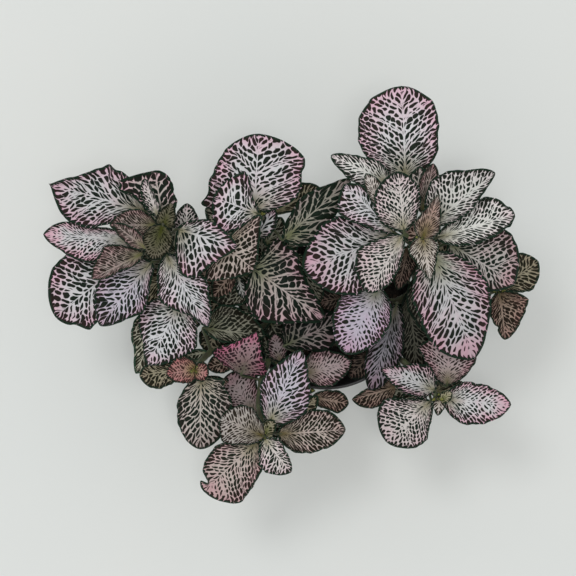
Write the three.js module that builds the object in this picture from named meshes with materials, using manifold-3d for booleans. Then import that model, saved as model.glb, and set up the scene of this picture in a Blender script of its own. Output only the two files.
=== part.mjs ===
// A potted nerve plant: a thin black nursery pot, its soil, and leafy stems with waved, broad leaves.
// Millimetres, +Z up. The origin is the middle of the pot's underside.

import * as THREE from 'three';
import { mergeVertices } from 'three/addons/utils/BufferGeometryUtils.js';
import Module from 'manifold-3d';

const wasm = await Module();
wasm.setup();

// Driving dimensions of the pot and its soil
const POT_HEIGHT = 80;
const RIM_RADIUS = 45;
const FOOT_RADIUS = 31;
const WALL = 1.4;
const FLOOR = 1.8;
const RIM_DEPTH = 9;
const RIM_STEP = 1.3;
const RIM_LIP = 0.8;
const FOOT_HOLLOW = 2;
const FOOT_RING = 4;
const FOOT_PAD = 12;
const DRAIN_COUNT = 6;
const DRAIN_RADIUS = 3;
const DRAIN_CIRCLE = 20;
const SOIL_TOP = 70;
const SOIL_MOUND = 2.5;
const FIT = 0.3;
const ROUND_SIDES = 40;
const HOLE_SIDES = 8;
const CUT_OVER = 1;

// Driving dimensions of the plant
const STEM_RADIUS = 1.6;
const STEM_SIDES = 6;
const STEM_STEPS = 9;
const ROOT_BOTTOM = 60;
const ROOT_HOLE = 2.4;
const STALK_REACH = 0.75;
const STALK_SAG = 0.1;
const STALK_LEAN = 0.3;
const STALK_RISE = 5;
const RISE_WEIGHT = 0.6;
const JOINT_SPOTS = 60;
const JOINT_DROP = 1;
const JOINT_FLOOR = 78;
const BUD_RADIUS = 2.3;
const BLADE_THICKNESS = 0.7;
const SMALL_BLADE = 15;
const MIDDLE_BLADE = 32;
const EDGE_DROOP = 0.14;
const TIP_CURL = 0.1;
const EDGE_WAVE = 0.9;
const WAVE_COUNT = 2.2;
const WAVE_SHIFT = 1.7;
const END_ROUNDNESS = 0.55;
const WIDTH_STATIONS = [0.2, 0.5, 0.8];

// The planting plan. Plan steps are half a millimetre, counted right and down from the sheet's corner.
// It is drawn as seen from EYE above the canopy, so higher points lie further out on it than they are.
const STEP = 0.5;
const POT_ON_PLAN = [327, 303];
const MIDDLE_OF_PLAN = [288, 288];
const CANOPY = 110;
const EYE = 1000;

// A leaf: where its blade starts and ends on the plan with the height there, and how far its edges stand
// from the midrib at a fifth, a half and four fifths of its length, in plan steps, on its left and its
// right as seen from the stem. bow lifts the middle, roll lifts the left edge for each mm from the midrib.
const leaf = (start, end, left, right, more = {}) => ({ start, end, left, right, ...more });

const SHOOTS = [
  {
    name: 'left_crown',
    stem: [[268, 302, 74], [252, 298, 80], [234, 293, 85], [198, 286, 92], [174, 266, 110], [162, 242, 124],
      [160, 225, 131]],
    leaves: [
      leaf([146, 212, 125], [50, 184, 127], [16, 31, 25], [34, 34, 15], { bow: 4 }),
      leaf([163, 219, 130], [157, 168, 133], [14, 24, 30], [15, 15, 11], { bow: 2 }),
      leaf([158, 217, 133], [144, 178, 139], [7, 9, 7], [6, 5, 4], { bow: 1 }),
      leaf([136, 241, 119], [42, 234, 113], [14, 25, 15], [10, 11, 14], { bow: 3 }),
      leaf([128, 260, 108], [56, 315, 101], [25, 30, 29], [26, 41, 33], { bow: 4 }),
      leaf([144, 253, 125], [91, 279, 123], [7, 6, 6], [13, 23, 14], { bow: 2 }),
      leaf([152, 262, 116], [99, 326, 110], [13, 25, 14], [24, 31, 20], { bow: 4 }),
      leaf([166, 254, 124], [208, 328, 114], [15, 21, 11], [20, 27, 6], { bow: 4 }),
      leaf([177, 229, 129], [237, 247, 129], [13, 17, 10], [37, 40, 16], { bow: 2 }),
      leaf([186, 234, 118], [187, 204, 121], [8, 9, 6], [10, 11, 7], { bow: 1 }),
      leaf([182, 300, 103], [147, 365, 96], [23, 29, 13], [27, 30, 13], { bow: 4 }),
      leaf([168, 306, 91], [134, 374, 83], [12, 15, 12], [20, 23, 10], { bow: 3 }),
      leaf([153, 223, 129], [110, 227, 131], [5, 6, 4], [10, 15, 8], { bow: 1 }),
      leaf([147, 248, 131], [113, 224, 135], [6, 7, 4], [6, 7, 4], { bow: 1 }),
      leaf([160, 230, 136], [152, 258, 133], [12, 16, 10], [12, 14, 10], { bow: 1 }),
      leaf([184, 262, 98], [150, 200, 93], [14, 18, 12], [14, 18, 12], { bow: 2 }),
      leaf([180, 275, 96], [110, 300, 88], [14, 18, 12], [14, 18, 12], { bow: 2 }),
      leaf([165, 262, 101], [95, 235, 98], [14, 18, 12], [12, 15, 10], { bow: 2 }),
      leaf([196, 290, 88], [185, 335, 82], [12, 15, 10], [10, 13, 8], { bow: 1 }),
    ],
  },
  {
    name: 'inner_left',
    stem: [[282, 300, 74], [268, 284, 84], [246, 262, 104], [230, 247, 119]],
    leaves: [
      leaf([224, 243, 123], [254, 270, 117], [42, 33, 15], [34, 28, 15], { bow: 2, roll: 0.22 }),
      leaf([254, 268, 107], [327, 322, 102], [36, 23, 12], [33, 34, 13], { bow: 4 }),
      leaf([234, 270, 99], [213, 298, 96], [9, 12, 8], [9, 12, 8], { bow: 1 }),
      leaf([238, 276, 97], [244, 299, 93], [4, 6, 4], [4, 6, 4], { bow: 1 }),
      leaf([262, 280, 90], [228, 262, 94], [12, 15, 10], [12, 15, 10], { bow: 1 }),
      leaf([270, 286, 86], [312, 310, 88], [14, 18, 12], [14, 18, 12], { bow: 1 }),
    ],
  },
  {
    name: 'back_left',
    stem: [[296, 262, 74], [288, 244, 84], [272, 228, 104], [258, 214, 119]],
    leaves: [
      leaf([254, 213, 118], [259, 133, 126], [46, 43, 29], [39, 45, 42], { bow: 4 }),
      leaf([257, 213, 123], [212, 187, 130], [14, 27, 14], [9, 28, 23], { bow: 2 }),
      leaf([272, 214, 104], [320, 187, 107], [10, 16, 11], [6, 9, 6], { bow: 1 }),
      leaf([256, 238, 110], [275, 210, 114], [7, 9, 6], [8, 9, 7], { bow: 1 }),
      leaf([240, 234, 108], [205, 212, 104], [8, 12, 9], [8, 12, 9], { bow: 1 }),
      leaf([266, 246, 102], [282, 217, 104], [8, 12, 8], [8, 12, 8], { bow: 1 }),
      leaf([283, 240, 110], [351, 178, 117], [13, 19, 10], [24, 20, 12], { bow: 3 }),
      leaf([262, 222, 94], [234, 170, 95], [14, 18, 12], [12, 14, 10], { bow: 2 }),
      leaf([268, 222, 100], [282, 158, 103], [10, 14, 10], [8, 14, 12], { bow: 2 }),
    ],
  },
  {
    name: 'back_right',
    stem: [[372, 270, 74], [384, 244, 84], [400, 210, 104], [407, 190, 121]],
    leaves: [
      leaf([405, 180, 122], [401, 85, 130], [34, 45, 32], [29, 35, 32], { bow: 5 }),
      leaf([388, 183, 125], [331, 155, 129], [12, 14, 7], [13, 12, 6], { bow: 2 }),
      leaf([414, 200, 124], [420, 167, 128], [7, 9, 6], [7, 9, 6], { bow: 1 }),
      leaf([422, 205, 129], [434, 164, 133], [7, 9, 7], [7, 9, 6], { bow: 1 }),
      leaf([398, 208, 100], [372, 140, 104], [14, 16, 12], [16, 20, 15], { bow: 3 }),
      leaf([404, 203, 107], [426, 120, 112], [16, 20, 14], [10, 14, 10], { bow: 3 }),
      leaf([388, 236, 88], [352, 200, 92], [14, 18, 12], [14, 18, 12], { bow: 2 }),
    ],
  },
  {
    name: 'right_crown',
    stem: [[396, 302, 74], [410, 292, 86], [418, 262, 112], [421, 236, 137]],
    leaves: [
      leaf([421, 238, 138], [431, 280, 137], [10, 8, 4], [15, 13, 8], { bow: 1 }),
      leaf([425, 230, 138], [438, 194, 144], [7, 8, 6], [9, 9, 5], { bow: 1 }),
      leaf([404, 231, 135], [397, 171, 138], [22, 27, 19], [12, 18, 15], { bow: 4 }),
      leaf([403, 235, 135], [368, 293, 129], [9, 14, 12], [17, 30, 22], { bow: 4 }),
      leaf([393, 231, 131], [344, 184, 132], [6, 11, 13], [8, 13, 11], { bow: 2 }),
      leaf([388, 222, 133], [366, 173, 136], [5, 7, 7], [5, 8, 9], { bow: 1 }),
      leaf([394, 234, 127], [303, 269, 121], [26, 42, 32], [20, 37, 25], { bow: 4 }),
      leaf([433, 222, 132], [497, 171, 136], [25, 31, 15], [9, 13, 5], { bow: 3 }),
      leaf([438, 237, 128], [516, 214, 126], [11, 20, 18], [13, 17, 12], { bow: 3 }),
      leaf([450, 244, 122], [516, 284, 115], [22, 38, 28], [18, 25, 18], { bow: 3 }),
      leaf([431, 252, 127], [475, 360, 110], [31, 40, 24], [30, 36, 30], { bow: 5 }),
      leaf([379, 286, 114], [344, 354, 107], [21, 25, 16], [23, 29, 18], { bow: 4 }),
      leaf([418, 266, 104], [480, 240, 98], [18, 22, 16], [18, 22, 16], { bow: 2 }),
      leaf([414, 278, 107], [452, 342, 106], [18, 22, 16], [18, 22, 16], { bow: 2 }),
      leaf([398, 268, 96], [344, 262, 98], [10, 16, 12], [16, 20, 14], { bow: 2 }),
    ],
  },
  {
    name: 'right_low',
    stem: [[394, 322, 74], [408, 319, 85], [440, 309, 92], [478, 297, 97], [498, 290, 101]],
    leaves: [
      leaf([500, 288, 100], [539, 261, 98], [10, 16, 17], [12, 20, 14], { bow: 2 }),
      leaf([499, 291, 98], [506, 340, 89], [19, 17, 10], [10, 12, 4], { bow: 1 }),
    ],
  },
  {
    name: 'front_right',
    stem: [[376, 340, 74], [388, 350, 83], [404, 362, 89], [422, 378, 94], [437, 397, 101]],
    leaves: [
      leaf([436, 391, 101], [382, 369, 104], [12, 14, 9], [19, 18, 8], { bow: 2 }),
      leaf([431, 401, 97], [385, 441, 91], [12, 23, 18], [14, 32, 26], { bow: 3 }),
      leaf([445, 398, 99], [513, 406, 96], [16, 16, 8], [19, 22, 12], { bow: 3 }),
      leaf([438, 400, 101], [433, 420, 99], [4, 5, 4], [4, 5, 4], { bow: 1 }),
      leaf([447, 386, 94], [449, 335, 97], [15, 22, 24], [18, 28, 24], { bow: 2 }),
      leaf([398, 386, 85], [352, 400, 83], [14, 15, 12], [12, 9, 5], { bow: 1 }),
      leaf([402, 318, 94], [370, 391, 92], [14, 17, 14], [9, 16, 10], { bow: 2 }),
      leaf([410, 332, 88], [421, 364, 90], [11, 12, 8], [10, 12, 8], { bow: 1 }),
      leaf([424, 384, 90], [400, 420, 84], [10, 12, 8], [10, 12, 8], { bow: 1 }),
      leaf([430, 390, 92], [482, 398, 88], [10, 14, 9], [10, 14, 9], { bow: 1 }),
    ],
  },
  {
    name: 'front',
    stem: [[308, 334, 74], [300, 352, 79], [300, 372, 84], [307, 390, 87]],
    leaves: [
      leaf([284, 346, 92], [347, 317, 94], [26, 20, 12], [11, 22, 15], { bow: 2 }),
      leaf([306, 373, 88], [354, 360, 87], [15, 16, 8], [15, 18, 9], { bow: 1 }),
      leaf([312, 397, 87], [349, 404, 84], [8, 11, 10], [8, 10, 11], { bow: 1 }),
      leaf([284, 358, 87], [269, 336, 88], [6, 8, 5], [7, 8, 6], { bow: 1 }),
    ],
  },
  {
    name: 'front_left',
    stem: [[280, 338, 74], [272, 352, 80], [264, 372, 86], [259, 402, 93], [264, 436, 104]],
    leaves: [
      leaf([269, 424, 103], [301, 350, 107], [17, 24, 13], [25, 28, 15], { bow: 4 }),
      leaf([257, 442, 100], [203, 492, 92], [20, 28, 23], [20, 25, 12], { bow: 4 }),
      leaf([264, 437, 105], [221, 419, 107], [10, 15, 13], [12, 22, 17], { bow: 2 }),
      leaf([266, 441, 105], [292, 472, 102], [10, 8, 5], [12, 17, 11], { bow: 2 }),
      leaf([277, 434, 99], [346, 430, 95], [15, 22, 19], [18, 21, 15], { bow: 2 }),
      leaf([256, 416, 94], [228, 374, 87], [10, 14, 12], [10, 13, 19], { bow: 1 }),
      leaf([288, 424, 93], [318, 396, 90], [6, 8, 6], [8, 10, 8], { bow: 1 }),
      leaf([242, 373, 93], [257, 332, 100], [30, 21, 8], [22, 16, 6], { bow: 1 }),
      leaf([278, 366, 84], [262, 333, 84], [6, 8, 5], [7, 9, 6], { bow: 1 }),
      leaf([262, 424, 92], [236, 470, 85], [12, 16, 10], [12, 16, 10], { bow: 1 }),
      leaf([268, 424, 90], [325, 442, 85], [10, 14, 10], [10, 14, 10], { bow: 1 }),
    ],
  },
  {
    name: 'left_low',
    stem: [[270, 322, 74], [256, 330, 80], [238, 338, 84], [216, 348, 86], [203, 359, 92], [196, 370, 102]],
    leaves: [
      leaf([194, 371, 102], [166, 375, 104], [9, 9, 7], [12, 13, 9], { bow: 1 }),
      leaf([197, 371, 102], [209, 373, 105], [8, 11, 8], [7, 9, 7], { bow: 1 }),
      leaf([184, 368, 92], [139, 376, 88], [10, 14, 11], [8, 9, 10], { bow: 1 }),
      leaf([201, 379, 98], [200, 450, 89], [28, 29, 21], [17, 24, 19], { bow: 3 }),
      leaf([209, 327, 97], [264, 335, 94], [19, 20, 13], [9, 10, 6], { bow: 1 }),
      leaf([216, 327, 90], [208, 352, 88], [10, 13, 10], [10, 13, 9], { bow: 1 }),
      leaf([199, 364, 93], [206, 420, 84], [8, 10, 8], [12, 14, 10], { bow: 1 }),
    ],
  },
];

const COLOURS = { pot: 0x141516, soil: 0x35281d, leaves: 0x8f8a88 };

// Solids

function solidOf(geometry) {
  const bare = geometry.clone();
  bare.deleteAttribute('normal');
  bare.deleteAttribute('uv');
  const merged = mergeVertices(bare, 1e-4);
  return new wasm.Manifold(new wasm.Mesh({
    numProp: 3,
    vertProperties: new Float32Array(merged.attributes.position.array),
    triVerts: new Uint32Array(merged.index.array),
  }));
}

function geometryOf(solid) {
  const mesh = solid.getMesh();
  const geometry = new THREE.BufferGeometry();
  geometry.setAttribute('position', new THREE.BufferAttribute(new Float32Array(mesh.vertProperties), 3));
  geometry.setIndex(new THREE.BufferAttribute(new Uint32Array(mesh.triVerts), 1));
  return geometry;
}

function upright(geometry) {
  return geometry.rotateX(Math.PI / 2);
}

function postSolid(x, y, low, high, radius) {
  const geometry = upright(new THREE.CylinderGeometry(radius, radius, high - low, HOLE_SIDES));
  return solidOf(geometry.translate(x, y, (low + high) / 2));
}

function tubeSolid(path) {
  const section = new THREE.Shape(
    Array.from({ length: STEM_SIDES }, (_, i) => {
      const turn = (2 * Math.PI * i) / STEM_SIDES;
      return new THREE.Vector2(STEM_RADIUS * Math.cos(turn), STEM_RADIUS * Math.sin(turn));
    }),
  );
  const options = { steps: STEM_STEPS, bevelEnabled: false, extrudePath: path };
  return solidOf(new THREE.ExtrudeGeometry(section, options));
}

// The plan

function place([across, down, height]) {
  const shrink = 1 - (height - CANOPY) / EYE;
  const x = (across - MIDDLE_OF_PLAN[0]) * shrink + MIDDLE_OF_PLAN[0] - POT_ON_PLAN[0];
  const y = (down - MIDDLE_OF_PLAN[1]) * shrink + MIDDLE_OF_PLAN[1] - POT_ON_PLAN[1];
  return new THREE.Vector3(x * STEP, -y * STEP, height);
}

// Blades

// How far an edge stands from the midrib at u of the length: a smooth curve through the three given widths,
// closed roundly at both ends
function spanAt(widths, u) {
  const [near, middle, far] = WIDTH_STATIONS.map(
    (at, i) => widths[i] / Math.sin(Math.PI * at) ** END_ROUNDNESS,
  );
  const knots = [near, near, near, middle, far, far, far];
  const gap = WIDTH_STATIONS[1] - WIDTH_STATIONS[0];
  const along = (u + 2 * gap - WIDTH_STATIONS[1]) / gap;
  const i = Math.min(Math.floor(along), knots.length - 4);
  const t = along - i;
  const [a, b, c, d] = knots.slice(i, i + 4);
  const full = b + 0.5 * t * (c - a + t * (2 * a - 5 * b + 4 * c - d + t * (3 * (b - c) + d - a)));
  return full * Math.sin(Math.PI * u) ** END_ROUNDNESS * STEP;
}

function aside(heading) {
  return new THREE.Vector3(-heading.y, heading.x, 0).normalize();
}

// A point of the blade at u of its length, and v from -1 at its right edge to 1 at its left edge
function bladePoint(one, phase, u, v) {
  const start = place(one.start);
  const end = place(one.end);
  const left = aside(end.clone().sub(start));
  const span = spanAt(v > 0 ? one.left : one.right, u);
  const point = start.clone().lerp(end, u).addScaledVector(left, span * v);
  const shift = v > 0 ? phase : phase + Math.PI / 2;
  const wave = EDGE_WAVE * Math.sin(Math.PI * u) * Math.sin(2 * Math.PI * WAVE_COUNT * u + shift);
  point.z += one.bow * Math.sin(Math.PI * u) - TIP_CURL * start.distanceTo(end) * u ** 3;
  point.z += (one.roll ?? 0) * span * v + (wave - EDGE_DROOP * span) * v * v;
  return point;
}

// Larger blades are drawn with more rows and columns of points
function bladeGrid(length) {
  if (length < SMALL_BLADE) return { columns: [-1, 0, 1], rows: [0.2, 0.5, 0.8] };
  const columns = [-1, -0.5, 0, 0.5, 1];
  if (length < MIDDLE_BLADE) return { columns, rows: [0.13, 0.38, 0.64, 0.88] };
  return { columns, rows: [0.1, 0.3, 0.5, 0.7, 0.9] };
}

// The blade's upper face: its points, its triangles, and its outline from one corner of the base to the other
function bladeFace(one, phase) {
  const base = place(one.start);
  const span = place(one.end).sub(base);
  const left = aside(span);
  const { columns, rows } = bladeGrid(span.length());
  const wide = columns.length;
  const middle = (wide - 1) / 2;
  const points = [-STALK_REACH, STALK_REACH].map((reach) => base.clone().addScaledVector(left, reach));
  for (const u of rows) {
    for (const v of columns) points.push(bladePoint(one, phase, u, v));
  }
  const tip = points.length;
  points.push(bladePoint(one, phase, 1, 0));
  const faces = [[0, 2 + middle, 1]];
  const outline = [0];
  for (let j = 0; j < wide - 1; j += 1) {
    faces.push([j < middle ? 0 : 1, 2 + j, 3 + j]);
    faces.push([tip - wide + j, tip, tip - wide + j + 1]);
  }
  for (let i = 0; i < rows.length; i += 1) {
    const first = 2 + i * wide;
    outline.push(first);
    for (let a = first; i < rows.length - 1 && a < first + wide - 1; a += 1) {
      faces.push([a, a + wide, a + wide + 1], [a, a + wide + 1, a + 1]);
    }
  }
  outline.push(tip);
  for (let i = rows.length - 1; i >= 0; i -= 1) outline.push(1 + wide + i * wide);
  outline.push(1);
  return { points, faces, outline };
}

// Leaves

// A square of the stalk: corners to the left and right, above and below its middle
function stalkRing(centre, heading, left) {
  const up = heading.clone().cross(left).normalize();
  return [[-1, 1], [1, 1], [1, -1], [-1, -1]].map(([side, height]) => (
    centre.clone().addScaledVector(left, side * STALK_REACH).addScaledVector(up, height * STALK_REACH)
  ));
}

// The stem's best spot for a leaf's stalk: near the leaf, and some way below it
function jointOn(stem, point) {
  const spots = stem.getSpacedPoints(JOINT_SPOTS).filter((spot) => (
    spot.z < point.z - JOINT_DROP || spot.z < JOINT_FLOOR
  ));
  const cost = (spot) => (
    Math.hypot(spot.x - point.x, spot.y - point.y) + RISE_WEIGHT * Math.abs(point.z - spot.z - STALK_RISE)
  );
  return spots.reduce((best, spot) => (cost(spot) < cost(best) ? spot : best)).clone();
}

// From the blade's base back to the stem, sagging a little on the way
function stalkRings(base, heading, stem) {
  const left = aside(heading);
  const joint = jointOn(stem, base);
  const way = base.clone().sub(joint);
  const reach = way.length();
  const bend = joint.clone().lerp(base, 0.5);
  bend.z -= reach * STALK_SAG;
  const flat = (vector) => vector.addScaledVector(left, -vector.dot(left)).normalize();
  const bendWay = flat(way.clone().addScaledVector(heading, reach * STALK_LEAN));
  const jointWay = flat(way.clone().setZ(way.z + reach * STALK_SAG).addScaledVector(heading, 0.01));
  return [stalkRing(bend, bendWay, left), stalkRing(joint, jointWay, left)];
}

// A leaf as one closed mesh: both faces of the blade, its edge, and the stalk that grows from its base
function leafSolid(one, phase, stem) {
  const { points: top, faces, outline } = bladeFace(one, phase);
  const under = top.length;
  const depthAt = (i) => (i < 2 ? 2 * STALK_REACH : BLADE_THICKNESS);
  const bottom = top.map((point, i) => point.clone().setZ(point.z - depthAt(i)));
  const points = [...top, ...bottom];
  const index = faces.flatMap(([a, b, c]) => [a, b, c, under + a, under + c, under + b]);
  for (let i = 0; i < outline.length - 1; i += 1) {
    const [a, b] = [outline[i], outline[i + 1]];
    index.push(b, a, under + a, b, under + a, under + b);
  }
  const base = place(one.start);
  const heading = place(one.end).sub(base).setZ(0).normalize();
  let ring = [0, 1, under + 1, under];
  for (const corners of stalkRings(base, heading, stem)) {
    const next = corners.map((_, k) => points.length + k);
    points.push(...corners);
    for (let k = 0; k < 4; k += 1) {
      const m = (k + 1) % 4;
      index.push(ring[k], ring[m], next[m], ring[k], next[m], next[k]);
    }
    ring = next;
  }
  index.push(ring[0], ring[1], ring[2], ring[0], ring[2], ring[3]);
  const geometry = new THREE.BufferGeometry().setFromPoints(points);
  geometry.setIndex(index);
  return solidOf(geometry);
}

// Shoots

// A stem rises upright out of its hole in the soil, then bends to where its top leaves grow
function stemPath(shoot) {
  const points = shoot.stem.map(place);
  const root = points[0];
  const foot = [ROOT_BOTTOM, (ROOT_BOTTOM + root.z) / 2].map((height) => root.clone().setZ(height));
  return new THREE.CatmullRomCurve3([...foot, ...points], false, 'centripetal');
}

function shootSolid(shoot, number) {
  const stem = stemPath(shoot);
  const tip = stem.getPoint(1);
  const bud = upright(new THREE.SphereGeometry(BUD_RADIUS, 6, 4)).translate(tip.x, tip.y, tip.z);
  const leaves = shoot.leaves.map((one, i) => leafSolid(one, WAVE_SHIFT * (number + i), stem));
  return [solidOf(bud), ...leaves].reduce((body, part) => body.add(part), tubeSolid(stem));
}

// Pot and soil

function latheSolid(profile) {
  const points = profile.map(([radius, height]) => new THREE.Vector2(radius, height));
  return solidOf(upright(new THREE.LatheGeometry(points, ROUND_SIDES)));
}

function wallRadius(height) {
  return FOOT_RADIUS + (RIM_RADIUS - RIM_STEP - FOOT_RADIUS) * (height / POT_HEIGHT);
}

function drainSolid(number) {
  const turn = (2 * Math.PI * number) / DRAIN_COUNT;
  const x = DRAIN_CIRCLE * Math.cos(turn);
  const y = DRAIN_CIRCLE * Math.sin(turn);
  return postSolid(x, y, -CUT_OVER, FOOT_HOLLOW + FLOOR + CUT_OVER, DRAIN_RADIUS);
}

// The pot stands on an outer ring and on a round pad in the middle; the ring between them is raised and drained
function potSolid() {
  const collar = POT_HEIGHT - RIM_DEPTH;
  const floor = FOOT_HOLLOW + FLOOR;
  const shell = latheSolid([
    [0, 0],
    [FOOT_PAD, 0],
    [FOOT_PAD + 1, FOOT_HOLLOW],
    [FOOT_RADIUS - FOOT_RING - 1, FOOT_HOLLOW],
    [FOOT_RADIUS - FOOT_RING, 0],
    [FOOT_RADIUS, 0],
    [wallRadius(collar), collar],
    [wallRadius(collar) + RIM_STEP, collar + 0.5],
    [RIM_RADIUS, POT_HEIGHT - RIM_LIP],
    [RIM_RADIUS - RIM_LIP, POT_HEIGHT],
    [RIM_RADIUS - WALL, POT_HEIGHT],
    [RIM_RADIUS - WALL - 0.5, POT_HEIGHT - 2 * RIM_LIP],
    [wallRadius(collar) - WALL, collar - 1],
    [wallRadius(floor) - WALL, floor],
    [0, floor],
  ]);
  const drains = Array.from({ length: DRAIN_COUNT }, (_, i) => drainSolid(i));
  return drains.reduce((pot, hole) => pot.subtract(hole), shell);
}

// Soil fills the pot to below its rim, gently mounded, with a hole for each stem
function soilSolid() {
  const bottom = FOOT_HOLLOW + FLOOR + FIT;
  const reach = (height) => wallRadius(height) - WALL - FIT;
  const heap = latheSolid([
    [0, bottom],
    [reach(bottom), bottom],
    [reach(SOIL_TOP - 2), SOIL_TOP - 2],
    [reach(SOIL_TOP) - 3, SOIL_TOP],
    [reach(SOIL_TOP) / 2, SOIL_TOP + 0.7 * SOIL_MOUND],
    [0, SOIL_TOP + SOIL_MOUND],
  ]);
  const holes = SHOOTS.map((shoot) => {
    const { x, y } = place(shoot.stem[0]);
    return postSolid(x, y, ROOT_BOTTOM - FIT, SOIL_TOP + SOIL_MOUND + CUT_OVER, ROOT_HOLE);
  });
  return holes.reduce((soil, hole) => soil.subtract(hole), heap);
}

function node(name, solid, colour, roughness) {
  const material = new THREE.MeshStandardMaterial({ color: colour, roughness, metalness: 0 });
  const mesh = new THREE.Mesh(geometryOf(solid), material);
  mesh.name = name;
  return mesh;
}

const plant = new THREE.Group();
plant.name = 'potted_nerve_plant';
plant.add(node('pot', potSolid(), COLOURS.pot, 0.55));
plant.add(node('soil', soilSolid(), COLOURS.soil, 0.95));
SHOOTS.forEach((shoot, number) => {
  plant.add(node(`${shoot.name}_shoot`, shootSolid(shoot, number), COLOURS.leaves, 0.6));
});

export default plant;
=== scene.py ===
"""A potted nerve plant: veined leaves on fuzzy stems, in soil, in a thin black nursery pot.

Shapes are worked out in millimetres and turned into metres where a mesh is made. The origin is the middle of
the pot's underside, +Z is up, and the picture is taken from straight above.
"""

from __future__ import annotations

import logging
import math
from dataclasses import dataclass, field
from enum import Enum
from typing import Iterable, Sequence

import bpy
import numpy as np
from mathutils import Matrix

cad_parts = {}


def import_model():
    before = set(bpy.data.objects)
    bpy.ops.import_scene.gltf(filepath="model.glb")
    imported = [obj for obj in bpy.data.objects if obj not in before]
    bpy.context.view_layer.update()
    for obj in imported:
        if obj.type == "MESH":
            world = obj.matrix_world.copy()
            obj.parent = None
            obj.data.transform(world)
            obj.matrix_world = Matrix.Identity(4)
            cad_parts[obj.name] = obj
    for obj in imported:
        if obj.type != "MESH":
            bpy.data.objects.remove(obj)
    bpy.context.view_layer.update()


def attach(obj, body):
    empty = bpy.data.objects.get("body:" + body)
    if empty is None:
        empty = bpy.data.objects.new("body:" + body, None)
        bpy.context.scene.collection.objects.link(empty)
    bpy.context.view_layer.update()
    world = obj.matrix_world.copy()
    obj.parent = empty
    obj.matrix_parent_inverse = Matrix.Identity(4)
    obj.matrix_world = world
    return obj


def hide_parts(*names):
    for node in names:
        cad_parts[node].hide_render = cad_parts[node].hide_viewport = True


log = logging.getLogger("nerve_plant")

MM = 0.001
BODY = "root"
Node, Tree, Socket = bpy.types.Node, bpy.types.NodeTree, bpy.types.NodeSocket
Object, Material = bpy.types.Object, bpy.types.Material
Colour = tuple[float, float, float]
Point = tuple[float, float, float]
Span = tuple[float, float]
Array = np.ndarray
Faces = list[Sequence[int]]


def srgb(code: int) -> Colour:
    """Turns a screen colour into a linear colour.

    Args:
        code: The screen colour, with two hexadecimal digits each for red, green and blue.

    Returns:
        The linear colour, each part from 0 to 1.
    """
    shares = (byte / 255 for byte in code.to_bytes(3, "big"))
    return tuple(share / 12.92 if share <= 0.04045 else ((share + 0.055) / 1.055) ** 2.4 for share in shares)


# Node trees


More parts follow.
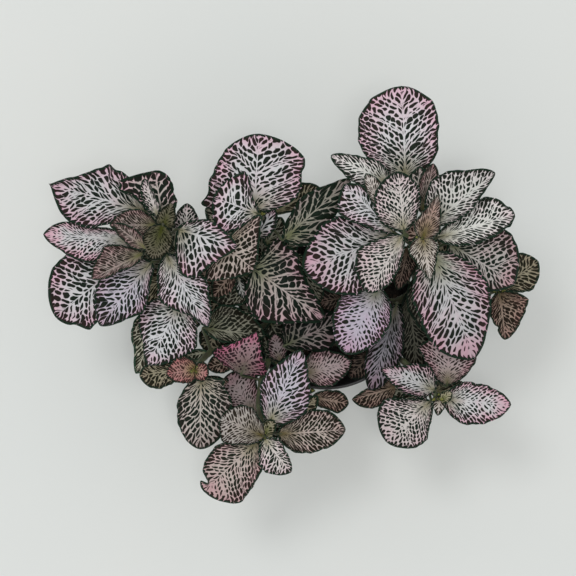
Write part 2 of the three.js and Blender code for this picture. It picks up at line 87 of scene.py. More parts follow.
class Graph:
    """A short way to fill a node tree: each call adds a node and wires what it reads."""

    def __init__(self, tree: Tree) -> None:
        """Keeps the tree that is filled."""
        self.tree = tree

    def node(self, kind: str, wires: dict[str | int, object] | None = None, **settings: object) -> Node:
        """Adds one node.

        Args:
            kind: The node's type name.
            wires: Values or output sockets for its inputs, by socket name or place.
            settings: Values for the node's own properties.

        Returns:
            The new node.
        """
        made = self.tree.nodes.new(kind)
        for name, value in settings.items():
            setattr(made, name, value)
        self.fill(made, wires or {})
        return made

    def fill(self, node: Node, wires: dict[str | int, object]) -> None:
        """Wires several inputs of a node, by socket name or place."""
        for key, value in wires.items():
            self.wire(node.inputs[key], value)

    def wire(self, socket: Socket, value: object) -> None:
        """Links an output to a socket, or gives the socket a plain value.

        Args:
            socket: The input socket.
            value: An output socket, or a number, vector or colour.
        """
        if isinstance(value, Socket):
            self.tree.links.new(value, socket)
        elif socket.type == "RGBA" and len(value) == 3:
            socket.default_value = (*value, 1.0)
        else:
            socket.default_value = value

    def math(self, operation: str, *values: object, clamp: bool = False) -> Socket:
        """Adds a Math node with its inputs in order, and can keep its result from 0 to 1."""
        wires = dict(enumerate(values))
        return self.node("ShaderNodeMath", wires, operation=operation, use_clamp=clamp).outputs[0]

    def vector(self, operation: str, *values: object) -> Socket:
        """Adds a Vector Math node with its inputs in order."""
        return self.node("ShaderNodeVectorMath", dict(enumerate(values)), operation=operation).outputs[0]

    def scaled(self, vector: object, factor: object) -> Socket:
        """Multiplies a vector by a number."""
        return self.node("ShaderNodeVectorMath", {0: vector, "Scale": factor}, operation="SCALE").outputs[0]

    def parts(self, vector: object) -> Sequence[Socket]:
        """Splits a vector into its three numbers."""
        return self.node("ShaderNodeSeparateXYZ", {0: vector}).outputs

    def linear(self, value: object, start: float, change: float) -> Socket:
        """A number that is start where the value is 0, and has changed by change where the value is 1."""
        return self.math("MULTIPLY_ADD", value, change, start)

    def vary(self, value: object, chance: object, amount: float) -> Socket:
        """Moves a value up or down by a chance of 0 to 1, at most by half the amount."""
        return self.math("MULTIPLY_ADD", self.math("SUBTRACT", chance, 0.5), amount, value)

    def ramp(self, value: object, low: object, high: object) -> Socket:
        """Maps a value to 0 at low and 1 at high, with the step eased at both ends."""
        wires = {"Value": value, "From Min": low, "From Max": high}
        return self.node("ShaderNodeMapRange", wires, interpolation_type="SMOOTHSTEP").outputs[0]

    def blend(self, factor: object, first: object, second: object, kind: str = "MIX") -> Socket:
        """Mixes two colours, where the factor says how much of the second shows."""
        wires = {0: factor, 6: first, 7: second}
        return self.node("ShaderNodeMix", wires, data_type="RGBA", blend_type=kind).outputs[2]

    def dimmed(self, colour: object, factor: object) -> Socket:
        """Multiplies a colour by a number."""
        grey = self.node("ShaderNodeCombineColor", {0: factor, 1: factor, 2: factor}).outputs[0]
        return self.blend(1.0, colour, grey, "MULTIPLY")

    def noise(self, vector: object, scale: float, detail: float = 2.0, rough: float = 0.5) -> Socket:
        """Adds smooth noise round 0.5, whose finer layers are counted by detail and weakened by rough."""
        wires = {"Vector": vector, "Scale": scale, "Detail": detail, "Roughness": rough}
        return self.node("ShaderNodeTexNoise", wires).outputs[0]

    def random(self, low: object, high: object, seed: object) -> Socket:
        """Draws a number for each instance, or a vector where low and high are vectors.

        Args:
            low: The lowest value.
            high: The highest value.
            seed: The random seed.

        Returns:
            The drawn value's socket.
        """
        if isinstance(low, tuple):
            wires = {0: low, 1: high, "Seed": seed}
            return self.node("FunctionNodeRandomValue", wires, data_type="FLOAT_VECTOR").outputs[0]
        wires = {2: low, 3: high, "Seed": seed}
        return self.node("FunctionNodeRandomValue", wires, data_type="FLOAT").outputs[1]

    def carried(self, name: str) -> Socket:
        """Reads a vector that the mesh carries, in a material."""
        return self.node("ShaderNodeAttribute", attribute_name=name).outputs["Vector"]

    def read(self, name: str, kind: str) -> Socket:
        """Reads a value that the mesh carries, in geometry nodes."""
        return self.node("GeometryNodeInputNamedAttribute", {"Name": name}, data_type=kind).outputs[0]

    def bump(self, height: object, depth: float, strength: float = 0.5) -> Socket:
        """Turns a height into a bump, whose depth is in metres."""
        wires = {"Strength": strength, "Distance": depth, "Height": height}
        return self.node("ShaderNodeBump", wires).outputs[0]


def make_group(
    name: str, kind: str, inputs: Iterable[tuple[str, str, object]], outputs: Iterable[tuple[str, str]]
) -> tuple[Tree, Graph, dict[str, Socket], Node]:
    """Starts a node group with named sockets.

    Args:
        name: The group's name.
        kind: ShaderNodeTree or GeometryNodeTree.
        inputs: Name, socket type and first value of each input.
        outputs: Name and socket type of each output.

    Returns:
        The group, a graph on it, its input sockets by name, and its output node.
    """
    tree = bpy.data.node_groups.new(name, kind)
    for label, sort, value in inputs:
        socket = tree.interface.new_socket(name=label, in_out="INPUT", socket_type=sort)
        if value is not None:
            socket.default_value = (*value, 1.0) if sort == "NodeSocketColor" else value
    for label, sort in outputs:
        tree.interface.new_socket(name=label, in_out="OUTPUT", socket_type=sort)
    graph = Graph(tree)
    entry = graph.node("NodeGroupInput")
    return tree, graph, {socket.name: socket for socket in entry.outputs}, graph.node("NodeGroupOutput")


FLOAT, COLOUR, VECTOR = "NodeSocketFloat", "NodeSocketColor", "NodeSocketVector"
GEOMETRY, MATERIAL, INTEGER = "NodeSocketGeometry", "NodeSocketMaterial", "NodeSocketInt"
GREY = (0.5, 0.5, 0.5)


@dataclass(frozen=True)
class VeinNet:
    """The net of fine veins on every blade. Its lengths are in cells.

    The dark cells are lenses that lie in rows between the side veins, each row shifted and slanted by chance.
    A pair is the least value, and how much it changes from cell to cell.
    """

    # How far and how finely the net strays from a plain one
    stray: float = 1.82
    stray_scale: float = 0.5
    stray_detail: float = 2.5
    # How far a row slants and is shifted along, and how far a cell lies beside the middle of its row
    slant: float = 0.9
    shift: float = 9.0
    aside: float = 0.16
    # How blunt a cell's ends are, how short it is, so that a long one runs into the next, and its size
    bluntness: float = 2.6
    shortness: Span = (0.55, 0.7)
    size: Span = (0.88, 0.26)

    @staticmethod
    def _share(graph: Graph, value: Socket, power: float) -> Socket:
        """How far out a place is in its cell along one axis, from 0 in the middle to 1, raised to a power."""
        return graph.math("POWER", graph.math("MULTIPLY", graph.math("ABSOLUTE", value), 2.0), power)

    def distance(self, graph: Graph, flow: Socket) -> Socket:
        """How far a place on a blade is from the veins round it. Both node kinds build it alike.

        Args:
            graph: The shader or geometry graph that it is built in.
            flow: The blade's flow coordinates: across the rows, and along them.

        Returns:
            The distance's socket, below 0 on a vein and about 0.5 in the middle of a cell.
        """
        wires = {"Vector": flow, "Scale": self.stray_scale, "Detail": self.stray_detail}
        drift = graph.node("ShaderNodeTexNoise", wires).outputs["Color"]
        moved = graph.vector("MULTIPLY", graph.vector("SUBTRACT", drift, GREY), (self.stray,) * 3)
        spot = graph.parts(graph.vector("ADD", flow, moved))
        row = graph.math("FLOOR", spot[0])
        across = graph.math("SUBTRACT", graph.math("FRACT", spot[0]), 0.5)
        chance = graph.node("ShaderNodeTexWhiteNoise", {"W": row}, noise_dimensions="1D").outputs["Color"]
        chances = graph.parts(chance)
        slant = graph.math("MULTIPLY", graph.linear(chances[0], -1.0, 2.0), across)
        slanted = graph.math("MULTIPLY_ADD", slant, self.slant, spot[1])
        shifted = graph.math("MULTIPLY_ADD", chances[1], self.shift, slanted)
        along = graph.math("SUBTRACT", graph.math("FRACT", shifted), 0.5)
        cell = graph.node("ShaderNodeCombineXYZ", {0: row, 1: graph.math("FLOOR", shifted)}).outputs[0]
        own = graph.node("ShaderNodeTexWhiteNoise", {"Vector": cell}, noise_dimensions="2D").outputs["Color"]
        owns = graph.parts(own)
        wide = self._share(graph, graph.vary(across, owns[0], self.aside), 2.0)
        long = self._share(graph, along, self.bluntness)
        short = graph.linear(owns[1], *self.shortness)
        reach = graph.math("POWER", graph.math("MULTIPLY_ADD", short, long, wide), 0.5)
        size = graph.linear(owns[2], *self.size)
        return graph.math("MULTIPLY", graph.math("SUBTRACT", size, reach), 0.5)


NET = VeinNet()


# Finishes


class Look(Enum):
    """The ages and colourings of leaf that grow on this plant. One dark kind is painted shadow for leaves
    under the canopy, and the pale lavender net and the pale-middled net are partly painted sheen.
    """

    NET_PINK = "net_pink"
    NET_LAVENDER_SHEEN = "net_lavender"
    NET_GREY = "net_grey"
    BROAD = "broad_net"
    WHITE = "white"
    PALE = "pale"
    FINE = "fine_net"
    OPEN = "open_net"
    DEEP = "deep_green"
    ROSE_GREY = "rose_grey"
    STREAKED = "streaked"
    YOUNG_RED = "young_red"
    YOUNG_WARM = "young_warm"
    YOUNG_PINK = "young_pink"
    YOUNG_BEIGE = "young_beige"
    SOFT = "soft_net"
    WARM = "warm_net"
    DUSTY = "dusty"
    CLOUDED_SHEEN = "clouded"
    GRAND = "grand_net"
    ROSY = "rosy"
    HOT_PINK = "hot_pink"
    OLIVE = "olive"
    BROWN = "brown"
    # A dark kind that is painted shadow for leaves under the canopy
    PAINTED_SHADE = "shade"
    BUD = "bud"


@dataclass(frozen=True)
class LeafFinish:
    """How one kind of leaf is veined and coloured. Lengths are in mm, and shares in cells."""

    pitch: float = 2.0
    length: float = 5.2
    opening: float = 0.07
    middle: float = 0.05
    lateral: float = 0.13
    lateral_gap: float = 7.0
    midrib: float = 0.6
    margin: float = 0.5
    taper: float = 1.3
    pink: float = 0.6
    basal: float = 0.42
    tip_fill: float = 0.0
    fan_start: float = 0.4
    pale: Colour = srgb(0xBABABB)
    rosy: Colour = srgb(0xC896AB)
    # The base colour is partly a leaf's own green base and partly painted shading where other leaves overlap
    # it
    base: Colour = srgb(0x827E66)
    tissue: Colour = srgb(0x152018)
    maroon: Colour = srgb(0x321C1E)
    edging: Colour = srgb(0x192C20)


FINISHES: dict[Look, LeafFinish] = {
    Look.NET_PINK: LeafFinish(),
    # The pale lavender is partly the leaf's own colour and partly painted sheen, the bluish-white highlight
    # on a leaf's middle
    Look.NET_LAVENDER_SHEEN: LeafFinish(pale=srgb(0xACA9B2), rosy=srgb(0xBC8EA4), pink=0.5, middle=0.08),
    Look.NET_GREY: LeafFinish(
        pale=srgb(0xA6A099), rosy=srgb(0xAA9092), base=srgb(0x7C7660), pink=0.4, pitch=2.2, length=5.6,
        opening=0.05, fan_start=0.37,
    ),
    Look.BROAD: LeafFinish(pitch=2.1, length=5.4, opening=0.075, margin=0.8, pink=0.65, lateral=0.2),
    Look.WHITE: LeafFinish(
        pitch=1.7, length=4.8, opening=0.06, middle=0.1, pale=srgb(0xB8B9BB), pink=0.45, lateral=0.22,
    ),
    Look.PALE: LeafFinish(
        pitch=1.7, length=4.6, opening=0.08, middle=0.1, pale=srgb(0xBEBFBA), pink=0.22, margin=0.45,
    ),
    Look.FINE: LeafFinish(
        pitch=1.5, length=3.6, opening=0.08, middle=0.06, pale=srgb(0xB8B3AF), pink=0.3, margin=0.45,
    ),
    # The pale greyish-lavender middle with few cells is partly the leaf's own colour and partly painted sheen
    Look.CLOUDED_SHEEN: LeafFinish(
        pitch=1.6, length=4.4, opening=0.06, middle=0.24, pale=srgb(0xA8A2AE), rosy=srgb(0xB68CA6),
        base=srgb(0x7C806C), margin=0.6, lateral=0.1,
    ),
    Look.SOFT: LeafFinish(
        pitch=1.6, length=4.0, opening=0.08, middle=0.13, pink=0.75, rosy=srgb(0xC692A4), tip_fill=0.14,
    ),
    Look.WARM: LeafFinish(
        pitch=1.7, length=4.6, opening=0.06, middle=0.1, pale=srgb(0xACA09A), rosy=srgb(0xB89296),
        base=srgb(0x7E7A5C), tissue=srgb(0x1C2218), pink=0.65, margin=0.65, tip_fill=0.12,
    ),
    Look.DUSTY: LeafFinish(
        pitch=1.3, length=4.0, opening=0.05, middle=0.26, pale=srgb(0x9A8C8C), rosy=srgb(0xA87E88),
        base=srgb(0x68624C), tissue=srgb(0x26201C), margin=0.4, basal=0.5, lateral=0.08,
    ),
    Look.GRAND: LeafFinish(
        pitch=2.3, length=6.2, opening=0.08, middle=0.1, pale=srgb(0xB2B1B3), rosy=srgb(0xBE8A9C),
        base=srgb(0x808466), pink=0.65, margin=0.8, lateral=0.18, tip_fill=0.1,
    ),
    Look.OPEN: LeafFinish(
        pitch=3.1, length=5.6, opening=0.03, middle=0.0, lateral=0.16, lateral_gap=6.2, margin=0.9,
        fan_start=0.3, pale=srgb(0x9C948F), rosy=srgb(0xB28896), base=srgb(0x6C7058), tissue=srgb(0x0E1912),
        maroon=srgb(0x241616), edging=srgb(0x122217),
    ),
    Look.DEEP: LeafFinish(
        pitch=4.0, length=5.6, opening=0.01, middle=0.0, lateral=0.1, lateral_gap=6.0, midrib=0.5,
        margin=0.7, fan_start=0.33, pale=srgb(0x929084), rosy=srgb(0xA28A90), base=srgb(0x686C4C),
        tissue=srgb(0x122016), maroon=srgb(0x1E1A14), edging=srgb(0x14261A), pink=0.45,
    ),
    Look.ROSE_GREY: LeafFinish(
        pitch=1.9, opening=0.06, middle=0.06, fan_start=0.37, pale=srgb(0xA09C98), rosy=srgb(0xB08890),
        base=srgb(0x70725C), margin=0.6,
    ),
    Look.STREAKED: LeafFinish(
        pitch=1.5, length=5.0, opening=0.05, middle=0.03, pale=srgb(0xA69C94), rosy=srgb(0xB09290),
        base=srgb(0x5E5436), tissue=srgb(0x1B1D13), pink=0.4, basal=0.5,
    ),
    Look.YOUNG_RED: LeafFinish(
        pitch=1.05, length=4.6, opening=0.06, middle=0.04, pale=srgb(0x8E827C), rosy=srgb(0x9A787A),
        base=srgb(0x60603C), tissue=srgb(0x26231C), pink=0.7, margin=0.3, basal=0.5, lateral=0.12,
    ),
    Look.YOUNG_WARM: LeafFinish(
        pitch=1.15, length=4.4, opening=0.1, middle=0.06, pale=srgb(0x967F75), rosy=srgb(0xA09791),
        base=srgb(0x564F2A), tissue=srgb(0x2C261C), pink=0.8, margin=0.25, basal=0.7, lateral=0.1,
    ),
    Look.YOUNG_PINK: LeafFinish(
        pitch=1.15, length=4.4, opening=0.1, middle=0.07, pale=srgb(0xADA59E), rosy=srgb(0xB4B1AC),
        base=srgb(0x5C532E), tissue=srgb(0x2C281E), margin=0.3, basal=0.7, lateral=0.1,
    ),
    Look.YOUNG_BEIGE: LeafFinish(
        pitch=1.05, length=4.0, opening=0.12, middle=0.08, pale=srgb(0x96907E), rosy=srgb(0x9E8C7C),
        base=srgb(0x545A20), tissue=srgb(0x262A12), pink=0.2, margin=0.2, basal=1.2, lateral=0.12,
    ),
    Look.ROSY: LeafFinish(
        pitch=1.0, length=4.0, opening=0.1, middle=0.06, pale=srgb(0x9E7A74), rosy=srgb(0xAC6A6C),
        base=srgb(0x686A28), tissue=srgb(0x422C26), pink=0.7, margin=0.3, basal=0.6, lateral=0.1,
    ),
    Look.HOT_PINK: LeafFinish(
        length=2.8, opening=0.05, middle=0.2, pale=srgb(0x90747A), rosy=srgb(0xB46080), base=srgb(0x5C564C),
        tissue=srgb(0x261A1E), pink=0.75, margin=0.15, taper=1.0, basal=0.75,
    ),
    Look.OLIVE: LeafFinish(
        pitch=1.6, opening=0.05, middle=0.03, pale=srgb(0x88826E), rosy=srgb(0x927E6E), base=srgb(0x565638),
        tissue=srgb(0x1B1D11), pink=0.25,
    ),
    Look.BROWN: LeafFinish(
        pitch=1.4, length=4.6, opening=0.05, middle=0.03, pale=srgb(0x86766A), rosy=srgb(0x966A66),
        base=srgb(0x5E503C), tissue=srgb(0x1E1911), pink=0.4, margin=0.4, basal=0.45,
    ),
    # A dark, dull grey-green that paints the shadow under the canopy on the leaves that lie there
    Look.PAINTED_SHADE: LeafFinish(
        pitch=1.8, length=5.0, opening=0.04, middle=0.04, pale=srgb(0x767668), rosy=srgb(0x7E726A),
        base=srgb(0x4C5036), tissue=srgb(0x14190F), pink=0.2, margin=0.6,
    ),
    Look.BUD: LeafFinish(
        pitch=0.7, length=2.4, opening=0.12, middle=0.1, midrib=0.3, pale=srgb(0x70723E),
        rosy=srgb(0x7E684C), base=srgb(0x586028), tissue=srgb(0x383E1A), pink=0.4, margin=0.15, taper=0.5,
    ),
}


@dataclass(frozen=True)
class VeinShading:
    """How pale veins lie over dark tissue, the same on every leaf. Widths are in cells.

    A pair is a number's start and how much it changes, or where an edge's eased step starts and ends.
    """

    # The scales of the noises that the rest is varied by
    coarse: float = 0.33
    medium: float = 1.3
    fine: float = 9.0
    # How the net closes towards the midrib, from place to place and at the base, and how the midrib thins out
    inwardness: float = 1.4
    unevenness: float = 0.16
    crowding: float = 0.22
    midrib_end: float = 1.15
    midrib_core: float = 0.45
    tip_start: float = 0.62
    # The dark margin's width, the teeth between the veins, and the side veins
    margin_wave: Span = (0.55, 0.9)
    tooth: float = 0.1
    side_sway: float = 0.14
    side_taper: float = 0.75
    side_tooth: float = 0.25
    vein_edge: Span = (-0.035, 0.05)
    # Where veins are pink, and olive at the base, partly as painted shading where leaves overlap, and how
    # bright they are
    pink_start: float = 0.25
    pink_patches: float = 1.5
    base_start: float = 0.02
    base_reach: float = 1.1
    pale_tone: Span = (0.8, 0.4)
    # The tissue: its green edging in mm, its maroon, and how bright it is within a cell and elsewhere
    edging: float = 0.9
    maroon: Span = (0.08, 1.5)
    cell_edge: Span = (0.1, 0.5)
    cell_tone: Span = (0.8, 0.3)
    tissue_tone: Span = (0.6, 0.8)
    # The height and the roughness
    relief_edge: Span = (-0.12, 0.3)
    grain: float = 0.25
    roughness: Span = (0.46, 0.12)
    tissue_gloss: float = 0.06


@dataclass(frozen=True)
class PlainFinish:
    """A finish of one main colour with a second, mottled colour. Its grain depth is in metres."""

    name: str
    colour: Colour
    second: Colour
    mottle: float
    roughness: float
    grain: float
    grain_depth: float
    sheen: float = 0.0
    specular: float = 0.3


STEM_GREEN = PlainFinish("stem_green", srgb(0x40482C), srgb(0x323222), 300.0, 0.5, 2600.0, 0.00006, 0.15)
HAIR_PALE = PlainFinish("hair_pale", srgb(0x7A805E), srgb(0x646A4C), 400.0, 0.6, 3000.0, 0.0)
# The soil's own dark brown, made darker still as painted shadow under the leaves
SOIL_BROWN_AND_SHADOW = PlainFinish("soil_brown_and_shadow", srgb(0x1E1813), srgb(0x0F0C0A), 420.0, 0.95, 1700.0, 0.0004)
BARK_BROWN = PlainFinish("bark_brown", srgb(0x2E231A), srgb(0x1A130E), 260.0, 0.9, 1500.0, 0.0003)


@dataclass(frozen=True)
class UndersideFinish:
    """The dull, paler lower face of every leaf, with its net showing faintly."""

    name: str = "leaf_underside"
    first: Colour = srgb(0x707E60)
    second: Colour = srgb(0x5E6854)
    vein: Colour = srgb(0x9E968C)
    vein_edge: Span = (0.08, 0.3)
    patch_scale: float = 0.5
    roughness: float = 0.62
    specular: float = 0.25
    sheen: float = 0.1


@dataclass(frozen=True)
class PlasticFinish:
    """Thin black plastic: a satin face with faint drawn streaks and dust."""

    name: str = "pot_plastic"
    colour: Colour = (0.0075, 0.0075, 0.008)
    streak: Colour = (0.013, 0.013, 0.0135)
    dust: Colour = (0.12, 0.11, 0.095)
    dust_share: float = 0.35
    streak_scale: Point = (900.0, 900.0, 60.0)
    streak_depth: float = 0.00012
    blotch_scale: float = 55.0
    blotch_edge: Span = (0.42, 0.75)
    speck_scale: float = 1900.0
    speck_edge: Span = (0.45, 0.72)
    roughness: float = 0.34
    dust_roughness: float = 0.25
    streak_roughness: float = 0.16
    specular: float = 0.45


@dataclass(frozen=True)
class FloorFinish:
    """The plain pale floor."""

    name: str = "pale_floor"
    first: Colour = srgb(0xCDD2D0)
    second: Colour = srgb(0xD4D6D2)
    tone_scale: float = 6.0
    roughness: float = 0.8


class Palette:
    """Builds each material once and hands it out by name."""

    CARRIED = ("Flow", "Rim", "Zone")
    NUMBERS = ("Opening", "Middle", "Lateral", "Midrib", "Margin", "Taper", "Pink", "Basal")
    COLOURS = ("Pale", "Rosy", "Base", "Tissue", "Maroon", "Edging")
    VEIN_DEPTH = 0.00016
    LEAF_SPECULAR = 0.05

    def __init__(self) -> None:
        """Builds the shader groups that the materials share."""
        self.made: dict[str, Material] = {}
        self.net_group = self._net_group(VeinShading())
        self.mottle_group = self._mottle_group()

    @classmethod
    def _net_group(cls, look: VeinShading) -> Tree:
        """The net of pale veins over dark tissue, with its dark toothed margin.

        Args:
            look: How the veins lie over the tissue.

        Returns:
            The shader group.
        """
        tree, graph, given, out = make_group(
            "vein_net",
            "ShaderNodeTree",
            [(name, VECTOR, None) for name in cls.CARRIED]
            + [(name, FLOAT, 0.5) for name in (*cls.NUMBERS, "Tip Fill", "Rib Spacing")]
            + [(name, COLOUR, GREY) for name in cls.COLOURS],
            [("Color", COLOUR), ("Height", FLOAT), ("Roughness", FLOAT)],
        )
        edge, along, aside = graph.parts(given["Rim"])
        outward, crowd, shade = graph.parts(given["Zone"])
        distance = NET.distance(graph, given["Flow"])
        coarse = graph.noise(given["Flow"], look.coarse, 1.0)
        medium = graph.noise(given["Flow"], look.medium)
        fine = graph.noise(given["Flow"], look.fine)
        # The net is open towards the margin, wide on the midrib, and closed where it crowds into the base
        inward = graph.math("POWER", graph.math("SUBTRACT", 1.0, outward, clamp=True), look.inwardness)
        opening = graph.math("MULTIPLY_ADD", given["Middle"], inward, given["Opening"])
        uneven = graph.vary(opening, coarse, look.unevenness)
        crowded = graph.math("MULTIPLY_ADD", crowd, look.crowding, uneven)
        slim = graph.math("MULTIPLY", given["Midrib"], graph.math("SUBTRACT", look.midrib_end, along))
        beside = graph.ramp(aside, graph.math("MULTIPLY", slim, look.midrib_core), slim)
        tipward = graph.ramp(along, look.tip_start, 1.0)
        filled = graph.math("MULTIPLY_ADD", tipward, given["Tip Fill"], crowded)
        veins = graph.math("ADD", filled, graph.math("SUBTRACT", 1.0, beside))
        # Towards the margin the veins taper to points between dark teeth
        wavy = graph.math("MULTIPLY", given["Margin"], graph.linear(medium, *look.margin_wave))
        past = graph.math("DIVIDE", graph.math("SUBTRACT", edge, wavy), given["Taper"])
        inside = graph.math("MINIMUM", graph.math("MAXIMUM", past, 0.0), 1.0)
        # The side veins are lines of their own, which thin out from the midrib
        swayed = graph.vary(graph.parts(given["Flow"])[2], medium, look.side_sway)
        side = graph.math("MULTIPLY", graph.math("PINGPONG", swayed, 0.5), given["Rib Spacing"])
        thick = graph.math("MULTIPLY", given["Lateral"], graph.linear(outward, 1.0, -look.side_taper))
        gaps = []
        for reach, width, tooth in ((distance, veins, look.tooth), (side, thick, look.side_tooth)):
            pointed = graph.math("MULTIPLY", graph.math("ADD", width, tooth), inside)
            gaps.append(graph.math("SUBTRACT", reach, graph.math("SUBTRACT", pointed, tooth)))
        gap = graph.math("MINIMUM", *gaps)
        dark = graph.ramp(gap, *look.vein_edge)
        # Pink gathers towards the margin and the tip
        reach = graph.math("MAXIMUM", graph.ramp(outward, look.pink_start, 1.0), tipward)
        patch = graph.vary(reach, coarse, look.pink_patches)
        rosy = graph.math("MULTIPLY", patch, given["Pink"], clamp=True)
        # Towards the base the veins turn olive: partly the leaf's own green, partly painted shading where
        # leaves overlap
        at_base = graph.math("SUBTRACT", 1.0, graph.ramp(along, look.base_start, given["Basal"]))
        basal = graph.math("MULTIPLY", at_base, graph.math("SUBTRACT", look.base_reach, outward), clamp=True)
        pale = graph.blend(basal, graph.blend(rosy, given["Pale"], given["Rosy"]), given["Base"])
        pale = graph.dimmed(pale, graph.linear(medium, *look.pale_tone))
        # The tissue is green along the margin, maroon beside pink veins, and brightest within a cell
        inner = graph.ramp(edge, given["Margin"], graph.math("ADD", given["Margin"], look.edging))
        depth = graph.math("MULTIPLY", graph.linear(rosy, *look.maroon), medium, clamp=True)
        tissue = graph.blend(depth, given["Tissue"], given["Maroon"])
        tissue = graph.blend(inner, given["Edging"], tissue)
        deep = graph.linear(graph.ramp(distance, *look.cell_edge), *look.cell_tone)
        tissue = graph.dimmed(tissue, graph.math("MULTIPLY", deep, graph.linear(coarse, *look.tissue_tone)))
        matt = graph.linear(fine, *look.roughness)
        # The colour is darkened by the leaf's painted shading, or brightened as painted light above 1
        graph.fill(out, {
            "Color": graph.dimmed(graph.blend(dark, pale, tissue), shade),
            "Height": graph.math("MULTIPLY_ADD", fine, look.grain, graph.ramp(gap, *look.relief_edge)),
            "Roughness": graph.math("MULTIPLY_ADD", dark, -look.tissue_gloss, matt),
        })
        return tree

    @staticmethod
    def _mottle_group() -> Tree:
        """Two colours in soft patches, with a fine grain.

        Returns:
            The shader group.
        """
        tree, graph, given, out = make_group(
            "soft_mottle",
            "ShaderNodeTree",
            [("Place", VECTOR, None), ("Patch Scale", FLOAT, 300.0), ("Grain Scale", FLOAT, 2000.0),
             ("First", COLOUR, GREY), ("Second", COLOUR, (0.3, 0.3, 0.3)), ("Roughness", FLOAT, 0.5)],
            [("Color", COLOUR), ("Height", FLOAT), ("Roughness", FLOAT)],
        )
        patch_edge, patch_height, grain_roughness = (0.36, 0.66), 0.6, 0.2
        patch = graph.noise(graph.scaled(given["Place"], given["Patch Scale"]), 1.0, 4.0, 0.6)
        grain = graph.noise(graph.scaled(given["Place"], given["Grain Scale"]), 1.0, 3.0, 0.6)
        share = graph.ramp(patch, *patch_edge)
        graph.fill(out, {
            "Color": graph.blend(share, given["First"], given["Second"]),
            "Height": graph.math("MULTIPLY_ADD", patch, patch_height, grain),
            "Roughness": graph.math("MULTIPLY_ADD", grain, grain_roughness, given["Roughness"], clamp=True),
        })
        return tree

    def _start(self, name: str) -> tuple[Material, Graph, Node]:
        """Starts a material.

        Args:
            name: Its name.

        Returns:
            The material, a graph on its tree, and its Principled shader.
        """
        material = bpy.data.materials.new(name)
        material.use_nodes = True
        self.made[name] = material
        return material, Graph(material.node_tree), material.node_tree.nodes["Principled BSDF"]

    def leaf(self, look: Look) -> Material:
        """The upper face of one kind of leaf.

        Args:
            look: The kind.

        Returns:
            The material.
        """
        if look.value in self.made:
            return self.made[look.value]
        finish = FINISHES[look]
        material, graph, shader = self._start(look.value)
        wires: dict[str, object] = {label: graph.carried(label.lower()) for label in self.CARRIED}
        wires |= {label: getattr(finish, label.lower()) for label in (*self.NUMBERS, *self.COLOURS)}
        wires |= {"Tip Fill": finish.tip_fill, "Rib Spacing": finish.lateral_gap / finish.pitch}
        net = graph.node("ShaderNodeGroup", wires, node_tree=self.net_group).outputs
        graph.fill(shader, {
            "Base Color": net["Color"], "Roughness": net["Roughness"],
            "Normal": graph.bump(net["Height"], self.VEIN_DEPTH), "Specular IOR Level": self.LEAF_SPECULAR,
        })
        return material

    def underside(self) -> Material:
        """The lower face of every leaf, whose veins stand out where the upper face's are sunk.

        Returns:
            The material.
        """
        finish = UndersideFinish()
        if finish.name in self.made:
            return self.made[finish.name]
        material, graph, shader = self._start(finish.name)
        flow = graph.carried("flow")
        vein = graph.ramp(NET.distance(graph, flow), *finish.vein_edge)
        green = graph.blend(graph.noise(flow, finish.patch_scale), finish.first, finish.second)
        normal = graph.bump(vein, self.VEIN_DEPTH)
        normal.node.invert = True
        graph.fill(shader, {
            "Base Color": graph.blend(vein, finish.vein, green), "Roughness": finish.roughness,
            "Normal": normal, "Specular IOR Level": finish.specular, "Sheen Weight": finish.sheen,
        })
        return material

    def plain(self, finish: PlainFinish) -> Material:
        """A mottled, grained finish.

        Args:
            finish: Its colours and grain.

        Returns:
            The material.
        """
        if finish.name in self.made:
            return self.made[finish.name]
        material, graph, shader = self._start(finish.name)
        place = graph.node("ShaderNodeTexCoord").outputs["Object"]
        mottle = graph.node("ShaderNodeGroup", {
            "Place": place, "Patch Scale": finish.mottle, "Grain Scale": finish.grain,
            "First": finish.colour, "Second": finish.second, "Roughness": finish.roughness - 0.1,
        }, node_tree=self.mottle_group).outputs
        graph.fill(shader, {
            "Base Color": mottle["Color"], "Roughness": mottle["Roughness"],
            "Specular IOR Level": finish.specular, "Sheen Weight": finish.sheen,
        })
        if finish.grain_depth > 0:
            graph.fill(shader, {"Normal": graph.bump(mottle["Height"], finish.grain_depth, 0.6)})
        return material

    def pot(self) -> Material:
        """The pot's plastic.

        Returns:
            The material.
        """
        finish = PlasticFinish()
        material, graph, shader = self._start(finish.name)
        place = graph.node("ShaderNodeTexCoord").outputs["Object"]
        drawn = graph.node("ShaderNodeMapping", {"Vector": place, "Scale": finish.streak_scale}).outputs[0]
        streak = graph.noise(drawn, 1.0, 3.0, 0.6)
        blotch = graph.ramp(graph.noise(place, finish.blotch_scale, 4.0, 0.6), *finish.blotch_edge)
        speck = graph.ramp(graph.noise(place, finish.speck_scale), *finish.speck_edge)
        dusty = graph.math("MULTIPLY", blotch, speck, clamp=True)
        black = graph.blend(streak, finish.colour, finish.streak)
        matt = graph.linear(dusty, finish.roughness, finish.dust_roughness)
        graph.fill(shader, {
            "Base Color": graph.blend(graph.math("MULTIPLY", dusty, finish.dust_share), black, finish.dust),
            "Roughness": graph.math("MULTIPLY_ADD", streak, finish.streak_roughness, matt, clamp=True),
            "Normal": graph.bump(streak, finish.streak_depth, 0.35), "Specular IOR Level": finish.specular,
        })
        return material

    def table(self) -> Material:
        """The floor's finish.

        Returns:
            The material.
        """
        finish = FloorFinish()
        material, graph, shader = self._start(finish.name)
        tone = graph.noise(graph.node("ShaderNodeTexCoord").outputs["Object"], finish.tone_scale)
        graph.fill(shader, {
            "Base Color": graph.blend(tone, finish.first, finish.second), "Roughness": finish.roughness,
        })
        return material


# Meshes


def placed(name: str, data: bpy.types.ID) -> Object:
    """Puts a new object with this data into the scene."""
    made = bpy.data.objects.new(name, data)
    bpy.context.scene.collection.objects.link(made)
    return made


